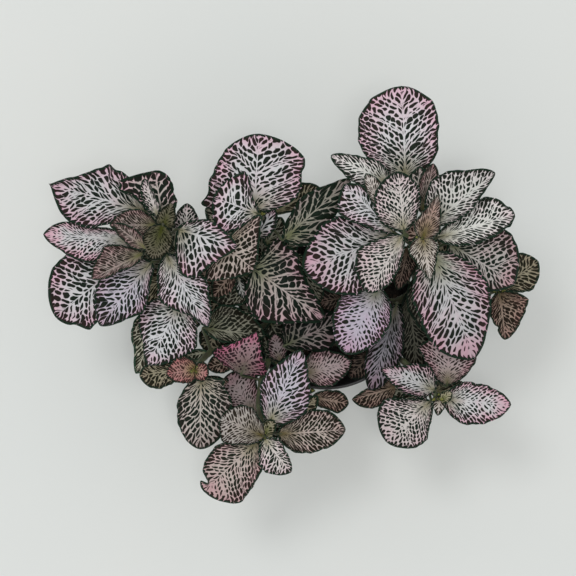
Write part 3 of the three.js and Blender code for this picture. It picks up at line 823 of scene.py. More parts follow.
@dataclass
class MeshData:
    """A mesh in the making, in mm, with its point attributes.

    Attributes:
        points: One row for each point.
        faces: Point numbers of each face.
        slots: Material slot of each face.
        extras: Vectors for each point, by attribute name.
    """

    points: Array
    faces: Faces
    slots: Array | None = None
    extras: dict[str, Array] = field(default_factory=dict)

    @staticmethod
    def joined(parts: Sequence["MeshData"]) -> "MeshData":
        """Puts several meshes into one. Each part has the same attributes as the first.

        Args:
            parts: The meshes.

        Returns:
            One mesh with the parts' points, faces, slots and attributes in order.
        """
        faces: Faces = []
        shift = 0
        for part in parts:
            faces.extend([tuple(at + shift for at in face) for face in part.faces])
            shift += len(part.points)
        slots = [np.zeros(len(part.faces), int) if part.slots is None else part.slots for part in parts]
        extras = {name: np.concatenate([part.extras[name] for part in parts]) for name in parts[0].extras}
        return MeshData(np.concatenate([part.points for part in parts]), faces, np.concatenate(slots), extras)

    def build(self, name: str, materials: Sequence[Material]) -> Object:
        """Makes the Blender object, at the origin, with its place in its mesh.

        Args:
            name: The object's name.
            materials: The materials of its slots.

        Returns:
            The object.
        """
        mesh = bpy.data.meshes.new(name)
        mesh.from_pydata((self.points * MM).tolist(), [], self.faces)
        for material in materials:
            mesh.materials.append(material)
        if self.slots is not None:
            mesh.polygons.foreach_set("material_index", self.slots.astype(np.int32))
        mesh.polygons.foreach_set("use_smooth", np.ones(len(self.faces), bool))
        for label, values in self.extras.items():
            layer = mesh.attributes.new(label, "FLOAT_VECTOR", "POINT")
            layer.data.foreach_set("vector", values.astype(np.float32).ravel())
        mesh.update()
        return placed(name, mesh)


def smooth_path(points: Array, per_span: int) -> Array:
    """A centripetal Catmull-Rom curve, as the CAD source draws its stems.

    Args:
        points: The points that it runs through, at least two.
        per_span: How many steps it has between two of them.

    Returns:
        The points along it.
    """
    before, after = 2 * points[0] - points[1], 2 * points[-1] - points[-2]
    knots = np.vstack([before, points, after])
    path = [points[0]]
    for i in range(len(points) - 1):
        x0, x1, x2, x3 = knots[i : i + 4]
        d0, d1, d2 = (max(np.linalg.norm(b - a) ** 0.5, 1e-6) for a, b in ((x0, x1), (x1, x2), (x2, x3)))
        first = ((x1 - x0) / d0 - (x2 - x0) / (d0 + d1) + (x2 - x1) / d1) * d1
        last = ((x2 - x1) / d1 - (x3 - x1) / (d1 + d2) + (x3 - x2) / d2) * d1
        for t in np.linspace(0, 1, per_span + 1)[1:]:
            path.append(
                (2 * t**3 - 3 * t**2 + 1) * x1 + (t**3 - 2 * t**2 + t) * first
                + (3 * t**2 - 2 * t**3) * x2 + (t**3 - t**2) * last
            )
    return np.array(path)


def even_path(path: Array, count: int) -> Array:
    """Spreads points evenly along a path.

    Args:
        path: The path's points.
        count: How many points are wanted.

    Returns:
        The spread points.
    """
    lengths = np.concatenate([[0], np.cumsum(np.linalg.norm(np.diff(path, axis=0), axis=1))])
    at = np.linspace(0, lengths[-1], count)
    return np.column_stack([np.interp(at, lengths, path[:, axis]) for axis in range(3)])


def tube(path: Array, radii: Array, sides: int = 8) -> MeshData:
    """A closed tube of changing thickness round a path.

    Args:
        path: Its middle line.
        radii: Its radius at each point of the line.
        sides: How many sides it has.

    Returns:
        The tube.
    """
    ahead = np.gradient(path, axis=0)
    ahead /= np.linalg.norm(ahead, axis=1, keepdims=True)
    across = np.cross(ahead, [0.31, 0.17, 0.02])
    across /= np.linalg.norm(across, axis=1, keepdims=True)
    up = np.cross(ahead, across)
    turn = np.arange(sides) * 2 * math.pi / sides
    rings = (
        path[:, None, :]
        + radii[:, None, None] * (np.cos(turn)[None, :, None] * across[:, None, :]
                                  + np.sin(turn)[None, :, None] * up[:, None, :])
    )
    count = len(path)
    faces: Faces = []
    for i in range(count - 1):
        for j in range(sides):
            k = (j + 1) % sides
            faces.append((i * sides + j, (i + 1) * sides + j, (i + 1) * sides + k, i * sides + k))
    faces.append(tuple(range(sides)))
    faces.append(tuple(reversed(range((count - 1) * sides, count * sides))))
    return MeshData(rings.reshape(-1, 3), faces)


# The plant's plan


@dataclass(frozen=True)
class Dent:
    """A local bulge or notch in a blade's outline.

    Attributes:
        side: 1 on the leaf's left, -1 on its right, and 0 on both.
        along: Where its middle is, from 0 at the base to 1 at the tip.
        depth: How far it goes in mm, out where above 0.
        reach: Half its width as a share of the leaf's length.
    """

    side: int
    along: float
    depth: float
    reach: float = 0.06


@dataclass(frozen=True)
class Leaf:
    """One leaf, in pixels of the photograph for the ends and the widths, and in mm for the heights.

    Attributes:
        start: Across, down and height of the blade's base.
        end: The same of its tip.
        look: How it is veined and coloured.
        left: Half its width at a fifth, a half and four fifths of its length, on its left.
        right: The same on its right, where it is another.
        bow: How far its middle rises above the straight line in mm.
        roll: How steeply it leans to one side.
        tip: How long and sharp its tip is drawn out, as a share.
        dents: Bulges and notches of its outline.
        shade: How much painted shadow darkens its colour, where 1 is none; above 1 it is painted light that
            brightens it.
    """

    start: Point
    end: Point
    look: Look
    left: Point
    right: Point | None = None
    bow: float = 1.0
    roll: float = 0.0
    tip: float = 0.2
    dents: tuple[Dent, ...] = ()
    shade: float = 1.0


@dataclass(frozen=True)
class Shoot:
    """A stem with the leaves that it carries.

    Attributes:
        name: The shoot's name, as in the CAD source without its ending.
        stem: Across, down and height of the stem's points, from the soil to the growing tip.
        leaves: Its leaves, in the CAD source's order.
    """

    name: str
    stem: tuple[Point, ...]
    leaves: tuple[Leaf, ...]


LEFT_CROWN = Shoot("left_crown", (
    (268, 302, 74), (252, 298, 80), (234, 293, 85), (198, 286, 92), (174, 266, 110), (162, 242, 124),
    (160, 225, 131),
), (
    Leaf((146, 212, 125), (47, 183, 127), Look.BROAD, (16, 31, 26), (26, 30, 13), bow=4, tip=1.4,
         shade=0.91, dents=(Dent(-1, 0.47, 2.2, 0.05),)),
    Leaf((163, 219, 130), (155, 170, 133), Look.OPEN, (14, 24, 37), (15, 15, 13), bow=2, tip=-0.1,
         shade=1.2, dents=(Dent(1, 0.92, 5, 0.07),)),
    Leaf((158, 217, 133), (144, 178, 139), Look.FINE, (7, 9, 7), (6, 5, 4), shade=0.92),
    Leaf((136, 241, 119), (42, 234, 113), Look.SOFT, (14, 25, 15), (10, 11, 14), bow=3),
    Leaf((128, 260, 108), (54, 317, 101), Look.BROAD, (25, 31, 27), (27, 42, 34), bow=4, tip=0,
         dents=(Dent(1, 0.78, 1.8, 0.05), Dent(1, 0.88, -1.2, 0.04))),
    Leaf((144, 253, 125), (91, 279, 123), Look.YOUNG_RED, (7, 6, 6), (13, 23, 14), bow=2),
    Leaf((152, 262, 116), (99, 326, 110), Look.NET_LAVENDER_SHEEN, (13, 25, 14), (24, 31, 20), bow=4),
    Leaf((166, 254, 124), (208, 328, 114), Look.WHITE, (15, 22, 13), (20, 27, 9), bow=4, tip=0.3),
    Leaf((177, 229, 129), (237, 247, 129), Look.NET_PINK, (13, 17, 10), (37, 40, 16), bow=2, shade=0.96),
    Leaf((186, 236, 118), (187, 203, 121), Look.FINE, (11, 12, 8), shade=0.9),
    Leaf((182, 300, 103), (147, 365, 96), Look.WHITE, (25, 35, 20), (27, 30, 13), bow=4, tip=0.1,
         shade=1.06),
    Leaf((168, 306, 91), (135, 374, 83), Look.PAINTED_SHADE, (12, 15, 12), (20, 23, 9), bow=3, shade=2.0),
    Leaf((157, 225, 129), (109, 225, 131), Look.YOUNG_RED, (12, 12, 7), (12, 16, 11)),
    Leaf((147, 249, 133), (113, 223, 136), Look.YOUNG_RED, (7, 8, 6), (7, 9, 6), shade=0.92),
    Leaf((163, 224, 136), (152, 260, 133), Look.YOUNG_BEIGE, (12, 15, 11), (12, 15, 12), shade=0.41),
    Leaf((162, 230, 134), (172, 203, 137), Look.YOUNG_BEIGE, (9, 9, 6), shade=0.42),
    Leaf((184, 262, 98), (150, 200, 93), Look.PAINTED_SHADE, (14, 18, 12), bow=2, shade=1.4),
    Leaf((180, 275, 96), (110, 300, 88), Look.OLIVE, (14, 18, 12), bow=2, shade=1.5),
    Leaf((165, 262, 101), (95, 235, 98), Look.PAINTED_SHADE, (14, 18, 12), (12, 15, 10), bow=2),
    Leaf((196, 290, 88), (185, 335, 82), Look.OLIVE, (12, 15, 10), (10, 13, 8)),
))

INNER_LEFT = Shoot("inner_left", (
    (282, 300, 74), (268, 284, 84), (246, 262, 104), (230, 247, 119),
), (
    Leaf((222, 243, 123), (254, 270, 117), Look.STREAKED, (43, 35, 17), (36, 31, 17), bow=2, roll=0.22),
    Leaf((252, 268, 107), (325, 320, 102), Look.OPEN, (38, 26, 13), (34, 36, 17), bow=4,
         dents=(Dent(1, 0.03, 12, 0.1),)),
    Leaf((234, 270, 99), (213, 298, 96), Look.BROWN, (9, 12, 8)),
    Leaf((238, 276, 97), (244, 299, 93), Look.PALE, (4, 6, 4), shade=0.72),
    Leaf((262, 284, 90), (205, 290, 94), Look.PAINTED_SHADE, (14, 20, 17), (18, 22, 16)),
    Leaf((270, 286, 86), (312, 310, 88), Look.PAINTED_SHADE, (14, 18, 12)),
    Leaf((290, 254, 96), (322, 302, 92), Look.PAINTED_SHADE, (12, 15, 10), (10, 14, 10), shade=0.9),
    Leaf((264, 262, 92), (298, 240, 94), Look.PAINTED_SHADE, (15, 18, 13), (12, 15, 10), shade=1.2),
    Leaf((236, 298, 90), (205, 308, 88), Look.OLIVE, (9, 11, 8), shade=0.7),
    Leaf((258, 300, 86), (240, 318, 84), Look.PAINTED_SHADE, (9, 11, 8), shade=0.5),
    Leaf((270, 322, 86), (280, 340, 86), Look.PAINTED_SHADE, (10, 12, 9), (9, 10, 7), shade=0.6),
    Leaf((262, 264, 88), (262, 230, 97), Look.PAINTED_SHADE, (9, 11, 8), (8, 10, 8), shade=0.9),
    Leaf((216, 284, 90), (198, 268, 96), Look.BROWN, (6, 8, 6), shade=0.9),
))

BACK_LEFT = Shoot("back_left", (
    (296, 262, 74), (288, 244, 84), (272, 228, 104), (258, 214, 119),
), (
    Leaf((254, 213, 118), (259, 133, 126), Look.NET_PINK, (44, 42, 30), (39, 45, 42), bow=4, tip=0,
         dents=(Dent(1, 0.03, 15, 0.12), Dent(1, 0.28, -1.2, 0.06))),
    Leaf((259, 214, 123), (213, 197, 129), Look.NET_PINK, (15, 29, 23), (12, 33, 24), bow=2, tip=0.1),
    Leaf((272, 214, 104), (320, 187, 107), Look.OLIVE, (11, 17, 12), (6, 9, 6), shade=1.12),
    Leaf((256, 238, 112), (275, 209, 116), Look.NET_PINK, (9, 11, 7), (9, 11, 8), shade=0.74),
    Leaf((250, 236, 108), (205, 208, 104), Look.PAINTED_SHADE, (10, 15, 11), (10, 14, 11)),
    Leaf((266, 246, 102), (282, 217, 104), Look.PAINTED_SHADE, (8, 12, 8)),
    Leaf((283, 240, 110), (351, 178, 117), Look.DEEP, (13, 19, 10), (24, 20, 12), bow=3, shade=0.86),
    Leaf((262, 222, 94), (234, 170, 95), Look.PAINTED_SHADE, (14, 18, 12), (12, 14, 10), bow=2),
    Leaf((268, 222, 100), (282, 158, 103), Look.OLIVE, (10, 14, 10), (8, 14, 12), bow=2),
))

BACK_RIGHT = Shoot("back_right", (
    (372, 270, 74), (384, 244, 84), (400, 210, 104), (407, 190, 121),
), (
    Leaf((405, 180, 122), (402, 85, 130), Look.NET_PINK, (34, 45, 36), (29, 34, 30), bow=5, tip=-0.05,
         shade=1.06, dents=(Dent(1, 0.88, 1.3, 0.04), Dent(-1, 0.84, 0.8, 0.04))),
    Leaf((390, 184, 125), (331, 155, 129), Look.PALE, (13, 15, 9), (14, 13, 8), bow=2, tip=0, shade=1.06),
    Leaf((414, 206, 124), (421, 166, 128), Look.NET_GREY, (9, 11, 8), (8, 10, 8)),
    Leaf((422, 212, 129), (434, 163, 133), Look.YOUNG_RED, (9, 10, 8), shade=0.92),
    Leaf((398, 208, 100), (372, 140, 104), Look.PAINTED_SHADE, (14, 16, 12), (16, 20, 15), bow=3),
    Leaf((404, 203, 107), (426, 120, 112), Look.OLIVE, (16, 20, 14), (10, 14, 10), bow=3),
    Leaf((388, 236, 88), (352, 200, 92), Look.PAINTED_SHADE, (14, 18, 12), bow=2),
))

RIGHT_CROWN = Shoot("right_crown", (
    (396, 302, 74), (410, 292, 86), (418, 262, 112), (421, 236, 137),
), (
    Leaf((422, 234, 138), (431, 281, 137), Look.YOUNG_PINK, (13, 11, 6), (15, 13, 6), tip=0.4, shade=1.1),
    Leaf((422, 240, 138), (439, 194, 144), Look.YOUNG_WARM, (12, 10, 5), (12, 11, 6), tip=0.4),
    Leaf((404, 232, 135), (398, 171, 138), Look.FINE, (22, 27, 20), (13, 19, 16), bow=4, tip=0.1),
    Leaf((403, 235, 135), (368, 293, 129), Look.FINE, (9, 14, 12), (17, 30, 22), bow=4, tip=0.1),
    Leaf((395, 233, 131), (344, 184, 132), Look.WHITE, (11, 20, 23), (9, 13, 12), bow=2),
    Leaf((388, 222, 133), (366, 173, 136), Look.YOUNG_PINK, (5, 7, 7), (5, 8, 9)),
    Leaf((396, 234, 127), (303, 269, 121), Look.BROAD, (26, 42, 33), (20, 37, 26), bow=4, tip=0.05,
         shade=0.86),
    Leaf((430, 225, 132), (496, 172, 136), Look.PALE, (27, 32, 17), (12, 14, 7), bow=3, tip=0.05,
         shade=0.94),
    Leaf((436, 238, 128), (516, 214, 126), Look.PALE, (11, 22, 22), (13, 17, 12), bow=3, tip=-0.05,
         shade=1.1, dents=(Dent(1, 0.93, -1.6, 0.03), Dent(-1, 0.9, 1.0, 0.04))),
    Leaf((448, 243, 122), (516, 284, 115), Look.ROSE_GREY, (22, 40, 32), (18, 25, 18), bow=3),
    Leaf((431, 252, 127), (475, 360, 110), Look.GRAND, (31, 40, 24), (30, 36, 30), bow=5, shade=0.95),
    Leaf((379, 286, 114), (345, 354, 107), Look.CLOUDED_SHEEN, (22, 27, 19), (24, 30, 21), bow=4, tip=0),
    Leaf((418, 266, 104), (480, 240, 98), Look.OLIVE, (18, 22, 16), bow=2),
    Leaf((414, 278, 107), (452, 342, 106), Look.PAINTED_SHADE, (18, 22, 16), bow=2, shade=0.5),
    Leaf((398, 268, 96), (344, 262, 98), Look.PAINTED_SHADE, (10, 16, 12), (16, 20, 14), bow=2),
    Leaf((426, 242, 134), (402, 225, 131), Look.BROWN, (8, 10, 7), (8, 10, 8)),
    Leaf((408, 246, 118), (398, 290, 112), Look.BROWN, (12, 12, 8), (10, 11, 7), shade=0.6),
    Leaf((348, 296, 88), (316, 304, 90), Look.BROWN, (10, 13, 9), (12, 18, 14), shade=0.38),
))

RIGHT_LOW = Shoot("right_low", (
    (394, 322, 74), (408, 319, 85), (440, 309, 92), (478, 297, 97), (498, 290, 101),
), (
    Leaf((500, 288, 100), (539, 261, 98), Look.OLIVE, (10, 16, 17), (12, 20, 14), bow=2),
    Leaf((499, 291, 98), (506, 340, 89), Look.BROWN, (26, 24, 14), (11, 12, 7), tip=0, shade=1.18,
         dents=(Dent(-1, 0.72, -1.5, 0.04),)),
))

FRONT_RIGHT = Shoot("front_right", (
    (376, 340, 74), (388, 350, 83), (404, 362, 89), (422, 378, 94), (437, 397, 101),
), (
    Leaf((436, 391, 101), (382, 369, 104), Look.SOFT, (12, 14, 9), (19, 18, 8), bow=2, shade=0.8),
    Leaf((431, 401, 97), (386, 442, 91), Look.FINE, (14, 26, 21), (15, 32, 26), bow=3, tip=0),
    Leaf((443, 399, 99), (512, 405, 96), Look.SOFT, (17, 19, 13), (20, 23, 16), bow=3),
    Leaf((440, 394, 101), (438, 416, 99), Look.YOUNG_PINK, (6, 7, 4)),
    Leaf((438, 402, 100), (452, 392, 104), Look.YOUNG_BEIGE, (5, 6, 5), shade=1.1),
    Leaf((447, 386, 94), (449, 335, 97), Look.DUSTY, (15, 24, 28), (18, 28, 24), bow=2, shade=1.1),
    Leaf((398, 386, 85), (352, 400, 83), Look.BROWN, (14, 15, 12), (12, 9, 5)),
    Leaf((397, 303, 96), (371, 391, 92), Look.NET_LAVENDER_SHEEN, (13, 20, 16), (9, 17, 12), bow=2, tip=0,
         shade=0.47),
    Leaf((408, 292, 94), (418, 370, 92), Look.PAINTED_SHADE, (14, 20, 20), (10, 14, 14), shade=0.36),
    Leaf((424, 384, 90), (400, 420, 84), Look.PAINTED_SHADE, (10, 12, 8)),
    Leaf((430, 390, 92), (482, 398, 88), Look.OLIVE, (10, 14, 9)),
    Leaf((414, 393, 87), (388, 390, 84), Look.PAINTED_SHADE, (8, 9, 7), (8, 9, 6)),
))

FRONT = Shoot("front", (
    (308, 334, 74), (300, 352, 79), (300, 372, 84), (307, 390, 87),
), (
    Leaf((284, 346, 92), (347, 317, 94), Look.OPEN, (26, 20, 12), (11, 22, 15), bow=2, shade=0.49),
    Leaf((303, 374, 88), (352, 362, 87), Look.DUSTY, (18, 20, 12), (15, 19, 12), shade=0.97),
    Leaf((312, 397, 87), (349, 404, 84), Look.BROWN, (8, 11, 10), (8, 10, 11)),
    Leaf((280, 362, 87), (274, 333, 88), Look.DUSTY, (9, 10, 8), (8, 10, 8), shade=0.6),
    Leaf((372, 352, 84), (349, 378, 82), Look.BROWN, (12, 14, 10), (9, 12, 9), shade=0.3),
))

FRONT_LEFT = Shoot("front_left", (
    (280, 338, 74), (272, 352, 80), (264, 372, 86), (259, 402, 93), (264, 436, 104),
), (
    Leaf((269, 424, 103), (301, 350, 107), Look.NET_LAVENDER_SHEEN, (17, 24, 13), (25, 28, 15), bow=4),
    Leaf((258, 440, 100), (203, 492, 92), Look.WARM, (23, 31, 31), (17, 25, 17), bow=4, tip=-0.1,
         dents=(Dent(-1, 0.87, -5, 0.035),)),
    Leaf((266, 437, 105), (220, 418, 107), Look.YOUNG_PINK, (12, 19, 20), (13, 22, 17), bow=2, tip=0,
         shade=0.74),
    Leaf((264, 438, 105), (291, 473, 102), Look.FINE, (11, 10, 7), (14, 21, 15), bow=2, tip=0.1, shade=1.1),
    Leaf((277, 434, 99), (346, 430, 95), Look.STREAKED, (15, 22, 19), (18, 21, 15), bow=2),
    Leaf((256, 416, 94), (228, 374, 87), Look.DUSTY, (15, 21, 20), (13, 19, 24), tip=0, shade=0.7),
    Leaf((288, 424, 93), (318, 396, 90), Look.OLIVE, (6, 8, 6), (8, 10, 8), shade=1.3),
    Leaf((241, 375, 93), (257, 332, 100), Look.HOT_PINK, (34, 25, 10), (23, 16, 7), shade=0.97),
    Leaf((278, 366, 84), (262, 333, 84), Look.PAINTED_SHADE, (6, 8, 5), (7, 9, 6), shade=0.8),
    Leaf((262, 424, 92), (236, 470, 85), Look.OLIVE, (12, 16, 10)),
    Leaf((252, 440, 95), (286, 422, 95), Look.PAINTED_SHADE, (9, 11, 8)),
    Leaf((236, 388, 86), (205, 378, 86), Look.BROWN, (6, 8, 6), (5, 6, 5), shade=0.8),
    Leaf((262, 437, 104), (274, 420, 106), Look.YOUNG_BEIGE, (7, 8, 6), shade=0.8),
    Leaf((234, 360, 86), (207, 368, 84), Look.BROWN, (8, 10, 7), (9, 12, 8)),
    Leaf((268, 424, 90), (325, 442, 85), Look.PAINTED_SHADE, (10, 14, 10)),
))

LEFT_LOW = Shoot("left_low", (
    (270, 322, 74), (256, 330, 80), (238, 338, 84), (216, 348, 86), (203, 359, 92), (196, 370, 102),
), (
    Leaf((199, 369, 102), (166, 374, 104), Look.ROSY, (11, 12, 9), (12, 15, 11), shade=0.88),
    Leaf((193, 371, 102), (209, 374, 105), Look.ROSY, (9, 11, 9), (8, 9, 8), shade=0.9),
    Leaf((184, 368, 92), (139, 376, 88), Look.OLIVE, (11, 16, 14), (8, 9, 10), tip=0),
    Leaf((201, 377, 98), (200, 450, 89), Look.NET_GREY, (28, 30, 22), (19, 24, 18), bow=3, tip=0,
         shade=1.06, dents=(Dent(1, 0.03, 6, 0.06),)),
    Leaf((203, 328, 97), (265, 336, 94), Look.PAINTED_SHADE, (24, 25, 17), (10, 12, 8), shade=0.95),
    Leaf((218, 324, 90), (208, 354, 88), Look.OLIVE, (15, 18, 13), (12, 15, 11), shade=0.6),
    Leaf((199, 364, 93), (206, 420, 84), Look.PAINTED_SHADE, (8, 10, 8), (12, 14, 10)),
    Leaf((207, 352, 90), (183, 356, 88), Look.PAINTED_SHADE, (5, 7, 5), (4, 5, 3), shade=1.7),
))

PLAN: tuple[Shoot, ...] = (LEFT_CROWN, INNER_LEFT, BACK_LEFT, BACK_RIGHT, RIGHT_CROWN, RIGHT_LOW,
                           FRONT_RIGHT, FRONT, FRONT_LEFT, LEFT_LOW)


class Plan:
    """Turns places in the photograph into places in the part's frame."""

    # How many mm a pixel is at the canopy, the middles of the pot and of the photograph in pixels, the height
    # of the canopy in mm, and how far above it the camera is
    STEP = 0.5
    POT = (327.0, 303.0)
    MIDDLE = (288.0, 288.0)
    CANOPY = 110.0
    EYE = 1000.0
    # A stem: its lower end in the soil, the height under which it can carry any stalk, and its points
    ROOT_BOTTOM = 60.0
    LOW_STEM = 78.0
    SPAN_STEPS = 12
    STEM_POINTS = 61
    # A stalk: how far it rises at best, and how much a mm of rise counts next to a mm sideways
    STALK_RISE = 5.0
    RISE_WEIGHT = 0.6

    @classmethod
    def place(cls, spot: Point) -> Array:
        """Finds the place that a pixel shows at a height.

        Args:
            spot: Across and down in pixels, and the height in mm.

        Returns:
            The place in mm.
        """
        across, down, height = spot
        shrink = 1 - (height - cls.CANOPY) / cls.EYE
        x = (across - cls.MIDDLE[0]) * shrink + cls.MIDDLE[0] - cls.POT[0]
        y = (down - cls.MIDDLE[1]) * shrink + cls.MIDDLE[1] - cls.POT[1]
        return np.array([x * cls.STEP, -y * cls.STEP, height])

    @classmethod
    def stem_path(cls, shoot: Shoot) -> Array:
        """The middle line of a shoot's stem, from inside the soil to its tip.

        Args:
            shoot: The shoot.

        Returns:
            Evenly spread points in mm.
        """
        points = [cls.place(spot) for spot in shoot.stem]
        x, y, height = points[0]
        foot = [np.array([x, y, level]) for level in (cls.ROOT_BOTTOM, (cls.ROOT_BOTTOM + height) / 2)]
        return even_path(smooth_path(np.array([*foot, *points]), cls.SPAN_STEPS), cls.STEM_POINTS)

    @classmethod
    def joint(cls, stem: Array, base: Array) -> int:
        """Finds where a leaf's stalk grows out of a stem.

        Args:
            stem: The stem's points.
            base: The base of the leaf's blade.

        Returns:
            The number of the stem's point.
        """
        allowed = (stem[:, 2] < base[2] - 1) | (stem[:, 2] < cls.LOW_STEM)
        rise = np.abs(base[2] - stem[:, 2] - cls.STALK_RISE)
        cost = np.hypot(*(stem[:, :2] - base[:2]).T) + cls.RISE_WEIGHT * rise
        return int(np.argmin(np.where(allowed, cost, np.inf)))


@dataclass
class Blade:
    """The blade of one leaf as a surface in mm, with the coordinates that its veins follow.

    Its fields are those of a leaf of the plan, but in mm. The phase is where its margin's waves start, rng
    draws its own random numbers, and the cell is the spacing of its mesh.
    """

    start: Array
    end: Array
    left: Point
    right: Point
    finish: LeafFinish
    phase: float
    rng: np.random.Generator
    bow: float = 0.0
    roll: float = 0.0
    tip: float = 0.4
    dents: tuple[Dent, ...] = ()
    # How far painted shading darkens its colour, or painted light brightens it above 1
    shade: float = 1.0
    cell: float = 0.58

    # The outline: where its widths are given, how round its ends are, and its small wobbles
    STATIONS = (0.2, 0.5, 0.8)
    FIRST_KNOT = -0.1
    KNOT_GAP = 0.3
    ROUNDNESS = 0.55
    TIP_REACH = 0.07
    WOBBLES = ((0.28, 3.7), (0.16, 8.3))
    FULL_WOBBLE = 8.0
    THINNEST = 0.02
    # The bend: waves along the margin, a droop towards it, and a curl at the tip
    EDGE_WAVE = 0.9
    WAVE_COUNT = 2.2
    RUFFLE = 0.35
    RUFFLE_COUNT = 5.3
    EDGE_DROOP = 0.14
    TIP_CURL = 0.1
    # The relief in mm: a groove on the midrib, a keel under it, and the blade puffed up between side veins
    THICKNESS = 0.36
    EDGE_FADE = 0.4
    GROOVE = 0.42
    GROOVE_WIDTH = 0.8
    GROOVE_TAPER = 0.6
    KEEL = 0.5
    KEEL_WIDTH = 0.7
    KEEL_TAPER = 0.75
    PUFF = 0.34
    PUFF_RIM = 2.5
    PUFF_MIDRIB = 2.0
    FULL_RELIEF = 14.0
    # The veins' course: how they fan out, and how the flow coordinates count cells
    FAN_REACH = 0.3
    FAN_CURVE = 0.7
    SIDE_VEINS = 0.7
    ROWS = 0.86
    CELL_REACH = 0.62
    FLOW_OUT, FLOW_SLANT, FLOW_AHEAD = 0.8, 0.12, 0.45
    CLOSED_FROM = 1.5
    CLOSED_PITCH = 0.36

    def __post_init__(self) -> None:
        """Works out what every point of the blade needs."""
        way = self.end - self.start
        self.length = float(np.linalg.norm(way))
        self.widest = float(np.max(self.left) + np.max(self.right))
        ahead = way[:2] / max(np.linalg.norm(way[:2]), 1e-6)
        self.aside = np.array([-ahead[1], ahead[0], 0.0])
        self.ripples = self.rng.uniform(0, 2 * math.pi, 6)
        self.offsets = self.rng.uniform(-40, 40, 2)

    def _width(self, widths: Point, side: int, u: Array) -> Array:
        """Half the blade's width on one side, in mm.

        Args:
            widths: Its widths at the stations.
            side: 1 for the left side, -1 for the right.
            u: Places along the leaf, from 0 to 1.

        Returns:
            The half widths.
        """
        near, middle, far = (
            width / math.sin(math.pi * at) ** self.ROUNDNESS for width, at in zip(widths, self.STATIONS)
        )
        knots = np.array([near, near, near, middle, far, far, far])
        along = (u - self.FIRST_KNOT) / self.KNOT_GAP
        i = np.minimum(np.floor(along).astype(int), 3)
        t = along - i
        a, b, c, d = (knots[i + k] for k in range(4))
        full = b + 0.5 * t * (c - a + t * (2 * a - 5 * b + 4 * c - d + t * (3 * (b - c) + d - a)))
        round_off = np.sin(math.pi * np.clip(u, 0, 1)) ** self.ROUNDNESS
        drawn = np.maximum(1 - np.exp(-(1 - u) / self.TIP_REACH), 1e-6) ** self.tip
        size = full * round_off * drawn
        spread = min(1.0, float(np.mean(widths)) / self.FULL_WOBBLE)
        wobble = sum(
            height * np.sin(2 * math.pi * count * u + self.ripples[2 * pair + side])
            for pair, (height, count) in enumerate(self.WOBBLES)
        )
        size = size + wobble * spread * np.sin(math.pi * u)
        for dent in self.dents:
            if dent.side in (0, side):
                size = size + dent.depth * np.exp(-(((u - dent.along) / dent.reach) ** 2))
        return np.maximum(size, self.THINNEST)

    def surface(self, u: Array, v: Array) -> tuple[Array, Array, Array]:
        """The blade's smooth upper face, without its relief.

        Args:
            u: Places along the leaf, from 0 to 1.
            v: Places across it, from -1 on its right to 1 on its left.

        Returns:
            Its points, how far each is to the side in mm, and half the blade's width there.
        """
        span = np.where(v > 0, self._width(self.left, 1, u), self._width(self.right, -1, u))
        sideways = span * v
        shift = np.where(v > 0, self.phase, self.phase + math.pi / 2)
        wave = self.EDGE_WAVE * np.sin(math.pi * u) * np.sin(2 * math.pi * self.WAVE_COUNT * u + shift)
        turns = 2 * math.pi * self.RUFFLE_COUNT * u + self.ripples[4] + shift
        ruffle = self.RUFFLE * np.sin(math.pi * u) * np.sin(turns)
        points = self.start + u[..., None] * (self.end - self.start) + sideways[..., None] * self.aside
        lift = self.bow * np.sin(math.pi * u) - self.TIP_CURL * self.length * u**3
        lift += self.roll * sideways + (wave - self.EDGE_DROOP * span) * v**2 + ruffle * v**4
        points[..., 2] += lift
        return points, sideways, span

    def _fan(self, u: Array, s: Array) -> Array:
        """The number of the side vein through each place: side veins fan out of the base and the midrib.

        Args:
            u: Places along the leaf.
            s: Places across it, from 0 on the midrib to 1 on the margin.

        Returns:
            The vein's place, from 0 to about 1.15.
        """
        g = s**self.FAN_CURVE
        c = self.finish.fan_start / self.FAN_REACH
        low = u / np.maximum(g, 1e-4)
        high = (u + c * self.finish.fan_start * (1 - g)) / (c + g * (1 - c))
        return np.where(u < self.finish.fan_start * g, low, high)

    def _crowding(self, u: Array, v: Array, across: Array, span: Array) -> Array:
        """Where the side veins run so close together that no cell fits between them.

        Args:
            u: Places along the leaf, one for each row.
            v: Places across it, one for each column.
            across: The flow coordinate that counts cells across the side veins.
            span: Half the blade's width at each point in mm.

        Returns:
            0 where the net is open, up to 1 where it is closed.
        """
        by_u, by_v = np.gradient(across, u, v)
        widening = np.gradient(span, u, axis=0) / span
        by_x = (by_u - by_v * v[None, :] * widening) / self.length
        pitch = 1 / np.maximum(np.hypot(by_x, by_v / span), 1e-6)
        return np.clip(self.CLOSED_FROM - pitch / (self.CLOSED_PITCH * self.finish.pitch), 0, 1)

    @staticmethod
    def _edge_distance(places: Array, outline: Array) -> Array:
        """How far flat places are from a closed outline.

        Args:
            places: The places.
            outline: The outline's corners in order.

        Returns:
            The distances.
        """
        first, second = outline, np.roll(outline, -1, axis=0)
        way = second - first
        size = np.maximum((way**2).sum(axis=1), 1e-9)
        nearest = np.full(len(places), np.inf)
        for start, step, square in zip(first, way, size):
            offset = places - start
            t = np.clip(offset @ step / square, 0, 1)
            gap = ((offset - t[:, None] * step) ** 2).sum(axis=1)
            np.minimum(nearest, gap, out=nearest)
        return np.sqrt(nearest)

    def _grid(self) -> tuple[Array, Array]:
        """Where the mesh's rows and columns run, closer together at the tips and at the margin.

        Returns:
            The rows, from above 0 to below 1, and the columns, from -1 on the right to 1 on the left.
        """
        rows = max(int(self.length / self.cell), 12)
        columns = max(int(self.widest / self.cell) // 2, 5)
        even = np.linspace(0, 1, rows + 1)[1:-1]
        u = 0.5 * ((1 - np.cos(math.pi * even)) / 2) + 0.5 * even
        rim_step = min(0.25 / max(self.widest / 2, 1), 0.5 / columns)
        half = np.unique(np.concatenate([np.linspace(0, 1, columns + 1), [1 - rim_step]]))
        return u, np.concatenate([-half[::-1], half[1:]])

